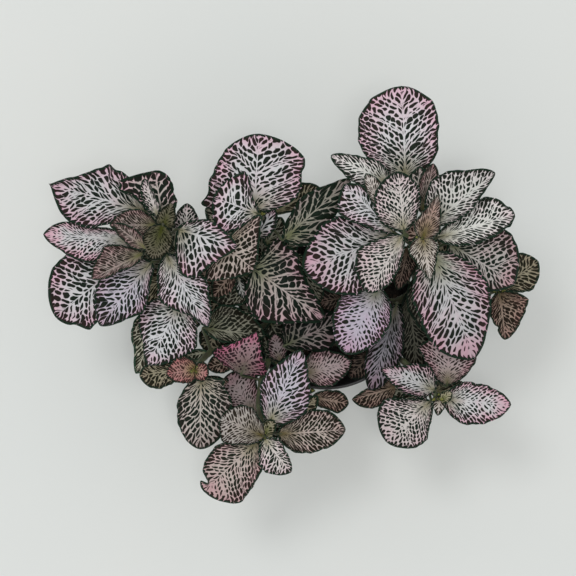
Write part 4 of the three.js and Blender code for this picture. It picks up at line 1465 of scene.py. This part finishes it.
    def _relief(self, u: Array, sideways: Array, edge: Array, ribs: Array) -> tuple[Array, Array]:
        """How the midrib and the side veins shape both faces.

        Args:
            u: How far along the leaf each point is, from 0 to 1.
            sideways: How far to the side it is in mm.
            edge: How far from the margin it is in mm.
            ribs: Its place in the count of side veins.

        Returns:
            How far the upper face rises, and how far the lower face lies under it.
        """
        small = min(1.0, self.widest / self.FULL_RELIEF)
        inner = np.clip(edge / self.PUFF_RIM, 0, 1)
        groove = self.GROOVE * np.exp(-((sideways / self.GROOVE_WIDTH) ** 2)) * (1 - self.GROOVE_TAPER * u)
        beside = np.clip(np.abs(sideways) / self.PUFF_MIDRIB, 0, 1)
        puff = self.PUFF * np.sin(math.pi * ribs) ** 2 * inner * beside
        body = self.THICKNESS * np.clip(edge / self.EDGE_FADE, 0.25, 1)
        keel = small * self.KEEL * np.exp(-((sideways / self.KEEL_WIDTH) ** 2)) * (1 - self.KEEL_TAPER * u)
        return small * (puff - groove * np.clip(edge, 0, 1)), body + keel

    @staticmethod
    def _faces(rows: int, columns: int) -> Faces:
        """The faces of both sides. The lower side shares the margin's points with the upper one.

        Args:
            rows: How many rows of points the upper side has.
            columns: How many points a row has.

        Returns:
            The point numbers of each face, first those of the upper side, then as many of the lower side.
        """
        above = np.arange(rows * columns).reshape(rows, columns)
        below = above.copy()
        below[:, 1:-1] = rows * columns + np.arange(rows * (columns - 2)).reshape(rows, -1)
        base = rows * columns + rows * (columns - 2)
        tip = base + 1
        faces: Faces = []
        for index, flip in ((above, False), (below, True)):
            a, b, c, d = index[:-1, :-1], index[1:, :-1], index[1:, 1:], index[:-1, 1:]
            corners = np.stack([a, d, c, b] if flip else [a, b, c, d], axis=-1).reshape(-1, 4)
            faces.extend(map(tuple, corners.tolist()))
            for j in range(columns - 1):
                first = (base, int(index[0, j]), int(index[0, j + 1]))
                last = (int(index[-1, j]), tip, int(index[-1, j + 1]))
                faces.extend([first[::-1], last[::-1]] if flip else [first, last])
        return faces

    def mesh(self) -> MeshData:
        """Builds the blade: both faces, meeting in a thin edge.

        Returns:
            The mesh, with slot 0 above and slot 1 below.
        """
        u, v = self._grid()
        uu, vv = np.meshgrid(u, v, indexing="ij")
        rows, columns = uu.shape
        top, sideways, span = self.surface(uu, vv)
        ends, _, _ = self.surface(np.array([0.0, 1.0]), np.array([0.0, 0.0]))
        fan = self._fan(uu, np.abs(vv))
        flat = np.stack([uu * self.length, sideways], axis=-1)
        outline = np.concatenate([[[0.0, 0.0]], flat[:, 0], [[self.length, 0.0]], flat[::-1, -1]])
        edge = self._edge_distance(flat.reshape(-1, 2), outline).reshape(uu.shape)
        ribs = fan * self.length * self.SIDE_VEINS / self.finish.lateral_gap + np.where(vv > 0, 0.5, 0.0)
        rise, depth = self._relief(uu, sideways, edge, ribs)
        top[..., 2] += rise
        under = top.copy()
        under[..., 2] -= depth
        points = np.concatenate([top.reshape(-1, 3), under[:, 1:-1].reshape(-1, 3), ends])
        faces = self._faces(rows, columns)
        outwards = self.FLOW_OUT * np.abs(sideways) + self.FLOW_SLANT * sideways
        along = outwards + self.FLOW_AHEAD * uu * self.length
        flow = np.stack([
            fan * self.ROWS * self.length / self.finish.pitch + self.offsets[0],
            along / (self.CELL_REACH * self.finish.length) + self.offsets[1],
            ribs,
        ], axis=-1)
        rim = np.stack([edge, uu, np.abs(sideways)], axis=-1)
        crowd = self._crowding(u, v, flow[..., 0], span)
        # The zone's last part is the leaf's painted shading factor, below 1 darker and above 1 brighter
        zone = np.stack([np.abs(vv), crowd, np.full(uu.shape, self.shade)], axis=-1)
        extras = {}
        for label, values in (("flow", flow), ("rim", rim), ("zone", zone)):
            ending = np.stack([values[0, columns // 2], values[-1, columns // 2]])
            if label == "rim":
                ending[:, 0] = 0
            extras[label] = np.concatenate([values.reshape(-1, 3), values[:, 1:-1].reshape(-1, 3), ending])
        return MeshData(points, faces, np.repeat([0, 1], len(faces) // 2), extras)


# Geometry node groups


class Growth:
    """Builds the geometry node groups and lays their results down as plain meshes. Lengths are in metres."""

    PUFF_EDGE = (0.02, 0.4)
    KNOT_SCALE = 260.0
    KNOTS = (0.85, 0.3)
    HAIR_LEAN = 0.5
    HAIR_SIZES = (0.5, 1.1)
    LUMP_SCALE = 1.6
    LUMP_UNEVENNESS = 1.3
    LUMP_LEAN = 0.7
    LUMP_SIZES = (0.45, 1.25)

    def __init__(self) -> None:
        """Builds the groups once."""
        self.quilt = self._quilt_group()
        self.tubes = self._tube_group()
        self.litter = self._litter_group()

    @classmethod
    def _quilt_group(cls) -> Tree:
        """Lifts the blade between its fine veins, by the same net that colours it.

        Returns:
            The group.
        """
        tree, graph, given, out = make_group(
            "quilted_blade",
            "GeometryNodeTree",
            [("Blade", GEOMETRY, None), ("Depth", FLOAT, 0.0001), ("Fade", FLOAT, 1.5)],
            [("Blade", GEOMETRY)],
        )
        edge = graph.parts(graph.read("rim", "FLOAT_VECTOR"))[0]
        rise = graph.ramp(NET.distance(graph, graph.read("flow", "FLOAT_VECTOR")), *cls.PUFF_EDGE)
        strength = graph.math("MULTIPLY", graph.ramp(edge, 0.0, given["Fade"]), given["Depth"])
        normal = graph.node("GeometryNodeInputNormal").outputs[0]
        offset = graph.scaled(normal, graph.math("MULTIPLY", rise, strength))
        moved = graph.node("GeometryNodeSetPosition", {"Geometry": given["Blade"], "Offset": offset})
        graph.wire(out.inputs["Blade"], moved.outputs[0])
        return tree

    @staticmethod
    def _made_of(graph: Graph, geometry: Socket, material: Socket) -> Socket:
        """Gives a geometry its material."""
        wires = {"Geometry": geometry, "Material": material}
        return graph.node("GeometryNodeSetMaterial", wires).outputs[0]

    @classmethod
    def _tube_group(cls) -> Tree:
        """Turns middle lines with a radius into fuzzy stems.

        Returns:
            The group.
        """
        tree, graph, given, out = make_group(
            "fuzzy_stems",
            "GeometryNodeTree",
            [("Lines", GEOMETRY, None), ("Sides", INTEGER, 10), ("Hairs Per Area", FLOAT, 4.0e5),
             ("Hair Length", FLOAT, 0.0009), ("Hair Radius", FLOAT, 0.00004), ("Seed", INTEGER, 0),
             ("Skin", MATERIAL, None), ("Hair", MATERIAL, None)],
            [("Stems", GEOMETRY)],
        )
        curve = graph.node("GeometryNodeMeshToCurve", {0: given["Lines"]}).outputs[0]
        place = graph.node("GeometryNodeInputPosition").outputs[0]
        knots = graph.noise(place, cls.KNOT_SCALE, 1.0)
        radius = graph.math("MULTIPLY", graph.read("girth", "FLOAT"), graph.linear(knots, *cls.KNOTS))
        ring = graph.node("GeometryNodeCurvePrimitiveCircle", {"Resolution": given["Sides"], "Radius": 1.0})
        wires = {"Curve": curve, "Profile Curve": ring.outputs[0], "Scale": radius, "Fill Caps": True}
        skin = graph.node("GeometryNodeCurveToMesh", wires).outputs[0]
        skin = graph.node("GeometryNodeSetShadeSmooth", {0: skin}).outputs[0]
        skin = cls._made_of(graph, skin, given["Skin"])
        wires = {"Mesh": skin, "Density": given["Hairs Per Area"], "Seed": given["Seed"]}
        spots = graph.node("GeometryNodeDistributePointsOnFaces", wires).outputs
        wires = {"Vertices": 3, "Radius Top": 0.0, "Radius Bottom": given["Hair Radius"],
                 "Depth": given["Hair Length"]}
        hair = graph.node("GeometryNodeMeshCone", wires, fill_type="NONE").outputs[0]
        hair = cls._made_of(graph, hair, given["Hair"])
        lean = graph.random((-cls.HAIR_LEAN,) * 3, (cls.HAIR_LEAN,) * 3, given["Seed"])
        turn = graph.node("FunctionNodeRotateEuler", {0: spots["Rotation"], 1: lean}).outputs[0]
        size = graph.random(*cls.HAIR_SIZES, given["Seed"])
        wires = {"Points": spots["Points"], "Instance": hair, "Rotation": turn, "Scale": size}
        hairs = graph.node("GeometryNodeInstanceOnPoints", wires).outputs[0]
        both = graph.node("GeometryNodeJoinGeometry")
        graph.wire(both.inputs[0], graph.node("GeometryNodeRealizeInstances", {0: hairs}).outputs[0])
        graph.wire(both.inputs[0], skin)
        graph.wire(out.inputs["Stems"], both.outputs[0])
        return tree

    @classmethod
    def _litter_group(cls) -> Tree:
        """Strews uneven lumps over a ground, each turned and sized at random.

        Returns:
            The group.
        """
        tree, graph, given, out = make_group(
            "strewn_lumps",
            "GeometryNodeTree",
            [("Ground", GEOMETRY, None), ("Per Area", FLOAT, 5.0e4), ("Size", FLOAT, 0.001),
             ("Flatness", FLOAT, 0.7), ("Stretch", FLOAT, 1.0), ("Detail", INTEGER, 2), ("Seed", INTEGER, 0),
             ("Stuff", MATERIAL, None)],
            [("Lumps", GEOMETRY)],
        )
        wires = {"Mesh": given["Ground"], "Density": given["Per Area"], "Seed": given["Seed"]}
        spots = graph.node("GeometryNodeDistributePointsOnFaces", wires).outputs
        wires = {"Radius": 1.0, "Subdivisions": given["Detail"]}
        ball = graph.node("GeometryNodeMeshIcoSphere", wires).outputs[0]
        place = graph.node("GeometryNodeInputPosition").outputs[0]
        push = graph.math("SUBTRACT", graph.noise(place, cls.LUMP_SCALE), 0.5)
        swell = graph.scaled(place, graph.math("MULTIPLY", push, cls.LUMP_UNEVENNESS))
        lump = graph.node("GeometryNodeSetPosition", {"Geometry": ball, "Offset": swell}).outputs[0]
        wires = {0: given["Stretch"], 1: 1.0, 2: given["Flatness"]}
        shape = graph.node("ShaderNodeCombineXYZ", wires).outputs[0]
        lump = graph.node("GeometryNodeTransform", {"Geometry": lump, "Scale": shape}).outputs[0]
        lump = cls._made_of(graph, lump, given["Stuff"])
        lean = cls.LUMP_LEAN
        turn = graph.random((-lean, -lean, 0.0), (lean, lean, 6.28), given["Seed"])
        size = graph.math("MULTIPLY", graph.random(*cls.LUMP_SIZES, given["Seed"]), given["Size"])
        wires = {"Points": spots["Points"], "Instance": lump, "Rotation": turn, "Scale": size}
        strewn = graph.node("GeometryNodeInstanceOnPoints", wires).outputs[0]
        graph.wire(out.inputs["Lumps"], graph.node("GeometryNodeRealizeInstances", {0: strewn}).outputs[0])
        return tree

    @staticmethod
    def apply(made: Object, group: Tree, values: dict[str, object]) -> None:
        """Runs a group on an object and keeps the result as the object's own mesh.

        Args:
            made: The object.
            group: The group.
            values: Values for the group's inputs, by name.
        """
        modifier = made.modifiers.new(group.name, "NODES")
        modifier.node_group = group
        for item in group.interface.items_tree:
            if item.item_type == "SOCKET" and item.in_out == "INPUT" and item.name in values:
                modifier[item.identifier] = values[item.name]
        bpy.context.view_layer.update()
        settle(made)


def settle(made: Object) -> None:
    """Makes what an object's modifiers do its own mesh, and removes them.

    Args:
        made: The object.
    """
    graph = bpy.context.evaluated_depsgraph_get()
    mesh = bpy.data.meshes.new_from_object(made.evaluated_get(graph), depsgraph=graph)
    made.modifiers.clear()
    old, made.data = made.data, mesh
    mesh.name = made.name
    bpy.data.meshes.remove(old)


# The pieces


@dataclass
class Line:
    """A stem or stalk in the making.

    Attributes:
        path: Its middle line in mm.
        radii: Its radius in mm at each point of the line.
    """

    path: Array
    radii: Array


def at_shares(profile: Sequence[Span], shares: Array) -> Array:
    """Reads a profile, given as shares of a length and values, at other shares."""
    return np.interp(shares, *zip(*profile))


@dataclass
class PottedPlant:
    """Builds every shown piece of the plant and puts it on its body. Lengths are in mm, the relief in m."""

    palette: Palette
    growth: Growth
    seed: int = 20
    # A leaf: its margin's waves next to the last leaf's, and how it rises between its fine veins
    wave_shift: float = 1.7
    vein_relief: float = 0.00016
    vein_fade: float = 1.6
    full_leaf: float = 7.0
    # A stalk: how it hangs through and runs under its blade, and its radius, which is greater on a broad leaf
    stalk_sag: float = 0.1
    stalk_drop: Span = (0.7, 0.75)
    stalk_end: Point = (0.05, 0.1, 0.16)
    stalk_size: Span = (0.55, 0.25)
    stalk_shape: Sequence[Span] = ((0, 1.25), (0.1, 1.0), (0.55, 0.85), (1, 0.3))
    # A stem: its radius along it, and how much and how far it swells where a stalk leaves it
    stem_shape: Sequence[Span] = ((0, 1.75), (0.4, 1.6), (0.9, 1.35), (1, 0.8))
    joint_size: float = 0.22
    joint_reach: float = 1.2
    # A bud: how many leaves it has, and the turn, slope and length of the first and from one to the next
    bud_leaves: int = 6
    bud_turn: Span = (2.4, 0.6)
    bud_rise: tuple[int, int] = (78, 9)
    bud_length: Span = (1.8, 0.5)

    # What the fuzz and each kind of litter are made with. Litter also keeps away from the soil's edge
    HAIRS = {"Sides": 10, "Hairs Per Area": 4.5e5, "Hair Length": 0.0009, "Hair Radius": 0.00004}
    LITTER = (
        ("soil_crumbs", SOIL_BROWN_AND_SHADOW, 1.2, {"Per Area": 5.5e5, "Size": 0.0011, "Flatness": 0.8, "Detail": 1}),
        ("soil_bark", BARK_BROWN, 4.2,
         {"Per Area": 5.5e4, "Size": 0.0019, "Flatness": 0.3, "Stretch": 1.9, "Detail": 2}),
    )

    @staticmethod
    def _dress(made: Object, node: str, slot: str) -> Object:
        """Puts a piece on its body in place of its CAD node.

        Args:
            made: The piece.
            node: The CAD node.
            slot: The record's material slot. It is not used.

        Returns:
            The same piece.
        """
        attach(made, BODY)
        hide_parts(node)
        return made

    def _blade(self, leaf: Leaf, phase: float, seed: int) -> Blade:
        """Turns a leaf of the plan into a blade.

        Args:
            leaf: The leaf of the plan.
            phase: Where its margin's waves start.
            seed: The seed of its own random numbers.

        Returns:
            The blade in mm.
        """
        left = tuple(width * Plan.STEP for width in leaf.left)
        right = tuple(width * Plan.STEP for width in leaf.right or leaf.left)
        return Blade(
            start=Plan.place(leaf.start), end=Plan.place(leaf.end), left=left, right=right,
            finish=FINISHES[leaf.look], phase=phase, rng=np.random.default_rng(seed),
            bow=leaf.bow, roll=leaf.roll, tip=leaf.tip, dents=leaf.dents, shade=leaf.shade,
        )

    def _stalk(self, blade: Blade, stem: Array) -> Line:
        """The stalk of a leaf, from its stem to a little way under its blade.

        Args:
            blade: The leaf's blade.
            stem: The stem's points.

        Returns:
            The stalk.
        """
        joint = stem[Plan.joint(stem, blade.start)]
        base = blade.start - [0, 0, self.stalk_drop[0]]
        bend = (joint + base) / 2 - [0, 0, self.stalk_sag * float(np.linalg.norm(base - joint))]
        under = blade.surface(np.array(self.stalk_end), np.zeros(3))[0] - [0, 0, self.stalk_drop[1]]
        path = smooth_path(np.vstack([joint, bend, base, under]), 5)
        least, more = self.stalk_size
        size = least + more * min(1.0, float(np.mean(blade.left)) / Blade.FULL_WOBBLE)
        return Line(path, size * at_shares(self.stalk_shape, np.linspace(0, 1, len(path))))

    def _stem(self, stem: Array, joints: Sequence[int]) -> Line:
        """The stem itself, swollen where stalks leave it.

        Args:
            stem: Its points.
            joints: The numbers of the points where stalks grow.

        Returns:
            The stem.
        """
        at = np.arange(len(stem))
        radii = at_shares(self.stem_shape, at / (len(stem) - 1))
        swelling = sum(np.exp(-(((at - joint) / self.joint_reach) ** 2)) for joint in set(joints))
        return Line(stem, radii * (1 + self.joint_size * np.minimum(swelling, 1)))

    def _stems(self, name: str, lines: Sequence[Line], seed: int) -> Object:
        """Makes the fuzzy stem and stalks of a shoot.

        Args:
            name: The piece's name.
            lines: The stem and its stalks.
            seed: The random seed of the hairs.

        Returns:
            The piece.
        """
        points = np.concatenate([line.path for line in lines]) * MM
        girth = np.concatenate([line.radii for line in lines]) * MM
        edges, shift = [], 0
        for line in lines:
            edges.extend((shift + i, shift + i + 1) for i in range(len(line.path) - 1))
            shift += len(line.path)
        mesh = bpy.data.meshes.new(name)
        mesh.from_pydata(points.tolist(), edges, [])
        mesh.attributes.new("girth", "FLOAT", "POINT").data.foreach_set("value", girth.astype(np.float32))
        made = placed(name, mesh)
        skin, hair = self.palette.plain(STEM_GREEN), self.palette.plain(HAIR_PALE)
        values = {**self.HAIRS, "Seed": seed, "Skin": skin, "Hair": hair}
        self.growth.apply(made, self.growth.tubes, values)
        return made

    def _bud(self, name: str, stem: Array, seed: int) -> Object:
        """Makes the small unopened leaves at a stem's tip.

        Args:
            name: The piece's name.
            stem: The stem's points.
            seed: Its random seed.

        Returns:
            The piece.
        """
        rng = np.random.default_rng(seed)
        parts = []
        for i in range(self.bud_leaves):
            turn = i * self.bud_turn[0] + rng.uniform(0, self.bud_turn[1])
            rise = math.radians(self.bud_rise[0] - self.bud_rise[1] * i)
            length = self.bud_length[0] + self.bud_length[1] * i
            level, up = math.cos(rise), math.sin(rise)
            way = np.array([level * math.cos(turn), level * math.sin(turn), up])
            start = stem[-1] + way * [0.8, 0.8, 0.2] - [0, 0, 0.15 * i]
            wide = length * 0.3
            widths = (wide * 0.8, wide, wide * 0.6)
            parts.append(Blade(
                start=start, end=start + way * length, left=widths, right=widths, finish=FINISHES[Look.BUD],
                phase=float(i), rng=rng, bow=0.5, cell=0.4,
            ).mesh())
        return MeshData.joined(parts).build(name, [self.palette.leaf(Look.BUD), self.palette.underside()])

    def shoot(self, number: int, shoot: Shoot) -> list[Object]:
        """Builds one shoot: its leaves, its stem with the stalks, and its bud.

        Args:
            number: Its number in the plan.
            shoot: Its plan.

        Returns:
            Its pieces.
        """
        node = f"{shoot.name}_shoot"
        stem = Plan.stem_path(shoot)
        made, stalks, joints = [], [], []
        for i, leaf in enumerate(shoot.leaves):
            blade = self._blade(leaf, self.wave_shift * (number + i), self.seed + 100 * number + i)
            faces = [self.palette.leaf(leaf.look), self.palette.underside()]
            piece = blade.mesh().build(f"{shoot.name}_leaf_{i + 1:02d}", faces)
            small = min(1.0, float(np.mean(blade.left + blade.right)) / self.full_leaf)
            values = {"Depth": self.vein_relief * small, "Fade": self.vein_fade}
            self.growth.apply(piece, self.growth.quilt, values)
            made.append(self._dress(piece, node, "veined_leaf"))
            stalks.append(self._stalk(blade, stem))
            joints.append(Plan.joint(stem, blade.start))
        lines = [self._stem(stem, joints), *stalks]
        stems = self._stems(f"{shoot.name}_stems", lines, self.seed + number)
        made.append(self._dress(stems, node, "stem_green"))
        bud = self._bud(f"{shoot.name}_bud", stem, self.seed + number)
        made.append(self._dress(bud, node, "veined_leaf"))
        return made

    def pot(self, pot: Pot) -> Object:
        """Builds the pot: a turned wall with a stepped rim, and a raised foot with drain holes."""
        return self._dress(pot.build(self.palette.pot()), "pot", "pot_plastic")

    def soil(self, soil: Soil) -> list[Object]:
        """Builds the soil and what lies on it.

        Args:
            soil: Its sizes.

        Returns:
            Its pieces.
        """
        bed = soil.body().build("soil_bed", [self.palette.plain(SOIL_BROWN_AND_SHADOW)])
        made = [self._dress(bed, "soil", "potting_soil")]
        for seed, (name, finish, inset, sizes) in enumerate(self.LITTER):
            stuff = self.palette.plain(finish)
            piece = soil.ground(inset).build(name, [stuff])
            self.growth.apply(piece, self.growth.litter, {**sizes, "Seed": seed + 3, "Stuff": stuff})
            made.append(self._dress(piece, "soil", "potting_soil"))
        return made


def lathe(profile: Sequence[Span], sides: int) -> MeshData:
    """Turns a half section round the upright axis. Its first and last corners lie on the axis.

    Args:
        profile: Radius and height of each corner, going outwards below and inwards above.
        sides: How many sides the result has.

    Returns:
        The turned solid.
    """
    turn = np.arange(sides) * 2 * math.pi / sides
    ring = np.array(profile[1:-1])
    x, y = ring[:, :1] * np.cos(turn), ring[:, :1] * np.sin(turn)
    points = np.stack([x, y, np.repeat(ring[:, 1:], sides, axis=1)], axis=-1).reshape(-1, 3)
    low, high = len(points), len(points) + 1
    points = np.vstack([points, [0, 0, profile[0][1]], [0, 0, profile[-1][1]]])
    faces: Faces = []
    last = (len(ring) - 1) * sides
    for j in range(sides):
        k = (j + 1) % sides
        faces.append((low, k, j))
        faces.append((high, last + j, last + k))
        for i in range(len(ring) - 1):
            faces.append((i * sides + j, i * sides + k, (i + 1) * sides + k, (i + 1) * sides + j))
    return MeshData(points, faces)


@dataclass(frozen=True)
class Pot:
    """The thin nursery pot, turned from one profile. Its sizes are in mm."""

    height: float = 80.0
    rim_radius: float = 45.0
    foot_radius: float = 31.0
    wall: float = 1.4
    floor: float = 1.8
    # The collar of the rim: its depth, how far it stands out, the step under it, and its cut edges
    rim_depth: float = 9.0
    rim_step: float = 1.3
    step_rise: float = 0.5
    rim_lip: float = 0.8
    rim_inside: Span = (1.9, 1.6)
    # The foot: how far its floor is raised, the ring that it stands on, and the pad in its middle
    foot_hollow: float = 2.0
    foot_ring: float = 4.0
    foot_pad: float = 12.0
    foot_slope: float = 1.0
    # The drain holes, on a circle, and the heights between which they are drilled
    drains: int = 6
    drain_radius: float = 3.0
    drain_circle: float = 20.0
    drill: Span = (-1.0, 6.0)
    drill_sides: int = 32
    # How far from a corner its rounding starts, the sides all round, and the angle from which an edge shows
    corner: float = 0.5
    sides: int = 144
    sharp: float = 40.0

    def wall_radius(self, height: float) -> float:
        """The wall's outer radius below the rim, at a height."""
        return self.foot_radius + (self.rim_radius - self.rim_step - self.foot_radius) * height / self.height

    def _profile(self) -> list[Span]:
        """The pot's half section, from the middle of its underside round to the middle of its floor.

        Returns:
            Radius and height of each corner, with the corners rounded.
        """
        step = self.height - self.rim_depth
        floor = self.foot_hollow + self.floor
        ring = self.foot_radius - self.foot_ring
        under_rim = self.wall_radius(step)
        corners = [
            (0.0, 0.0), (self.foot_pad, 0.0), (self.foot_pad + self.foot_slope, self.foot_hollow),
            (ring - self.foot_slope, self.foot_hollow), (ring, 0.0), (self.foot_radius, 0.0),
            (under_rim, step), (under_rim + self.rim_step, step + self.step_rise),
            (self.rim_radius, self.height - self.rim_lip), (self.rim_radius - self.rim_lip, self.height),
            (self.rim_radius - self.wall, self.height),
            (self.rim_radius - self.rim_inside[0], self.height - self.rim_inside[1]),
            (under_rim - self.wall, step - 1), (self.wall_radius(floor) - self.wall, floor), (0.0, floor),
        ]
        turned = [corners[0]]
        for before, corner, after in zip(corners, corners[1:], corners[2:]):
            p, c, q = (np.array(spot) for spot in (before, corner, after))
            reach = min(self.corner, 0.4 * np.linalg.norm(c - p), 0.4 * np.linalg.norm(q - c))
            a = c + (p - c) / np.linalg.norm(p - c) * reach
            b = c + (q - c) / np.linalg.norm(q - c) * reach
            for t in (0.0, 0.33, 0.67, 1.0):
                spot = (1 - t) ** 2 * a + 2 * t * (1 - t) * c + t * t * b
                turned.append((float(spot[0]), float(spot[1])))
        turned.append(corners[-1])
        return turned

    def _drills(self) -> Object:
        """The drills of the drain holes.

        Returns:
            One object of upright cylinders.
        """
        parts = []
        for i in range(self.drains):
            turn = 2 * math.pi * i / self.drains
            x, y = self.drain_circle * math.cos(turn), self.drain_circle * math.sin(turn)
            path = np.array([[x, y, end] for end in self.drill])
            parts.append(tube(path, np.full(2, self.drain_radius), self.drill_sides))
        return MeshData.joined(parts).build("drain_drills", [])

    def build(self, material: Material) -> Object:
        """Turns the profile and drills the drain holes.

        Args:
            material: The pot's material.

        Returns:
            The pot.
        """
        made = lathe(self._profile(), self.sides).build("pot_shell", [material])
        drills = self._drills()
        cut = made.modifiers.new("drains", "BOOLEAN")
        cut.operation, cut.solver, cut.object = "DIFFERENCE", "EXACT", drills
        settle(made)
        bpy.data.objects.remove(drills)
        made.data.set_sharp_from_angle(angle=math.radians(self.sharp))
        return made


@dataclass(frozen=True)
class Soil:
    """The soil in the pot, heaped in the middle, with a gap to the wall. Its sizes are in mm."""

    pot: Pot
    bottom: float = 4.1
    top: float = 70.0
    mound: float = 2.5
    bumps: float = 0.55
    gap: float = 0.3
    rings: int = 46
    sides: int = 120

    def _reach(self, height: float) -> float:
        """The soil's radius at a height."""
        return self.pot.wall_radius(height) - self.pot.wall - self.gap

    @property
    def _turns(self) -> Array:
        """The angles of its sides."""
        return np.arange(self.sides) * 2 * math.pi / self.sides

    def _height(self, x: Array, y: Array) -> Array:
        """The height of its uneven top.

        Args:
            x: Across in mm.
            y: Back in mm.

        Returns:
            The heights in mm.
        """
        reach = self._reach(self.pot.height - self.pot.rim_depth)
        share = np.clip(1 - (x**2 + y**2) / reach**2, 0, 1)
        broad = np.sin(0.31 * x + 1.3) * np.cos(0.27 * y + 0.4)
        bumps = broad + 0.5 * np.sin(0.71 * x - 0.5 * y) + 0.3 * np.cos(1.3 * y + 0.9 * x)
        return self.top + self.mound * share + self.bumps * bumps * np.sqrt(share)

    def ground(self, inset: float = 0.0) -> MeshData:
        """Its top alone.

        Args:
            inset: How far in mm it stays from the edge.

        Returns:
            The mesh.
        """
        reach = self._reach(self.pot.height - self.pot.rim_depth)
        radii = np.linspace(0, reach - inset, self.rings + 1)[1:]
        x, y = radii[:, None] * np.cos(self._turns), radii[:, None] * np.sin(self._turns)
        points = np.stack([x, y, self._height(x, y)], axis=-1).reshape(-1, 3)
        middle = len(points)
        points = np.vstack([points, [0, 0, float(self._height(np.zeros(1), np.zeros(1))[0])]])
        faces: Faces = []
        for j in range(self.sides):
            k = (j + 1) % self.sides
            faces.append((middle, j, k))
            for start in range(0, (self.rings - 1) * self.sides, self.sides):
                after = start + self.sides
                faces.append((start + j, after + j, after + k, start + k))
        return MeshData(points, faces)

    def body(self) -> MeshData:
        """The whole heap, closed down to the pot's floor.

        Returns:
            The mesh.
        """
        top = self.ground()
        foot = self._reach(self.bottom)
        low = np.full(self.sides, self.bottom)
        ring = np.column_stack([foot * np.cos(self._turns), foot * np.sin(self._turns), low])
        start = len(top.points)
        outer = (self.rings - 1) * self.sides
        faces = list(top.faces)
        for j in range(self.sides):
            k = (j + 1) % self.sides
            faces.append((outer + k, outer + j, start + j, start + k))
        faces.append(tuple(start + j for j in reversed(range(self.sides))))
        return MeshData(np.vstack([top.points, ring]), faces)


# The studio


@dataclass(frozen=True)
class Lamp:
    """A round soft lamp. Its place and size are in m, and its power in W."""

    name: str
    place: Point
    size: float
    power: float


@dataclass
class Studio:
    """The floor, the lights and the camera straight above. The floor's and the camera's sizes are in mm."""

    palette: Palette
    floor_half: float = 2500.0
    sky_colour: tuple[float, float, float, float] = (1.0, 0.99, 0.995, 1.0)
    sky_strength: float = 0.83
    lamps: tuple[Lamp, ...] = (
        Lamp("key_light", (-0.45, 0.5, 1.8), 0.5, 7.0),
        Lamp("fill_light", (0.06, -0.05, 1.9), 0.3, 5.0),
    )
    lit_height: float = 0.08
    lens: float = 125.0
    sensor: float = 36.0
    clip: Span = (0.01, 20.0)

    def floor(self) -> None:
        """Lays the plain pale floor."""
        half = self.floor_half
        corners = np.array([[-half, -half, 0], [half, -half, 0], [half, half, 0], [-half, half, 0]])
        made = MeshData(corners, [(0, 1, 2, 3)]).build("floor", [self.palette.table()])

    def lights(self) -> None:
        """Sets a bright even sky and two soft lamps, one from the back left and one from above."""
        world = bpy.data.worlds.new("soft_sky")
        world.use_nodes = True
        sky = world.node_tree.nodes["Background"]
        sky.inputs["Color"].default_value = self.sky_colour
        sky.inputs["Strength"].default_value = self.sky_strength
        bpy.context.scene.world = world
        for lamp in self.lamps:
            data = bpy.data.lights.new(lamp.name, "AREA")
            data.shape, data.size, data.energy = "DISK", lamp.size, lamp.power
            made = placed(lamp.name, data)
            made.location = lamp.place
            made.rotation_euler = aim(lamp.place, (0.0, 0.0, self.lit_height))

    def camera(self) -> None:
        """Puts the camera straight above, framed as the photograph."""
        data = bpy.data.cameras.new("camera")
        data.lens, data.sensor_width = self.lens, self.sensor
        data.clip_start, data.clip_end = self.clip
        made = placed("camera", data)
        x = (Plan.MIDDLE[0] - Plan.POT[0]) * Plan.STEP
        y = (Plan.POT[1] - Plan.MIDDLE[1]) * Plan.STEP
        made.location = (x * MM, y * MM, (Plan.EYE + Plan.CANOPY) * MM)
        bpy.context.scene.camera = made
        bpy.context.scene.view_settings.view_transform = "Standard"


def aim(place: Point, target: Point) -> Point:
    """Finds the turn that points a lamp from one place at another.

    Args:
        place: Where the lamp is.
        target: What it points at.

    Returns:
        The Euler angles.
    """
    x, y, z = (b - a for a, b in zip(place, target))
    level = math.hypot(x, y)
    return math.pi / 2 + math.atan2(z, level), 0.0, math.atan2(y, x) - math.pi / 2


def main() -> None:
    """Builds the plant and its studio, and logs how many faces each piece has."""
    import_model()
    palette = Palette()
    plant = PottedPlant(palette, Growth())
    pot = Pot()
    pieces = [plant.pot(pot), *plant.soil(Soil(pot))]
    for number, shoot in enumerate(PLAN):
        pieces.extend(plant.shoot(number, shoot))
    for piece in pieces:
        log.info("%s: %d faces", piece.name, len(piece.data.polygons))
    studio = Studio(palette)
    studio.floor()
    studio.lights()
    studio.camera()


if __name__ == "__main__":
    logging.basicConfig(level=logging.INFO, format="%(name)s: %(message)s")
    main()
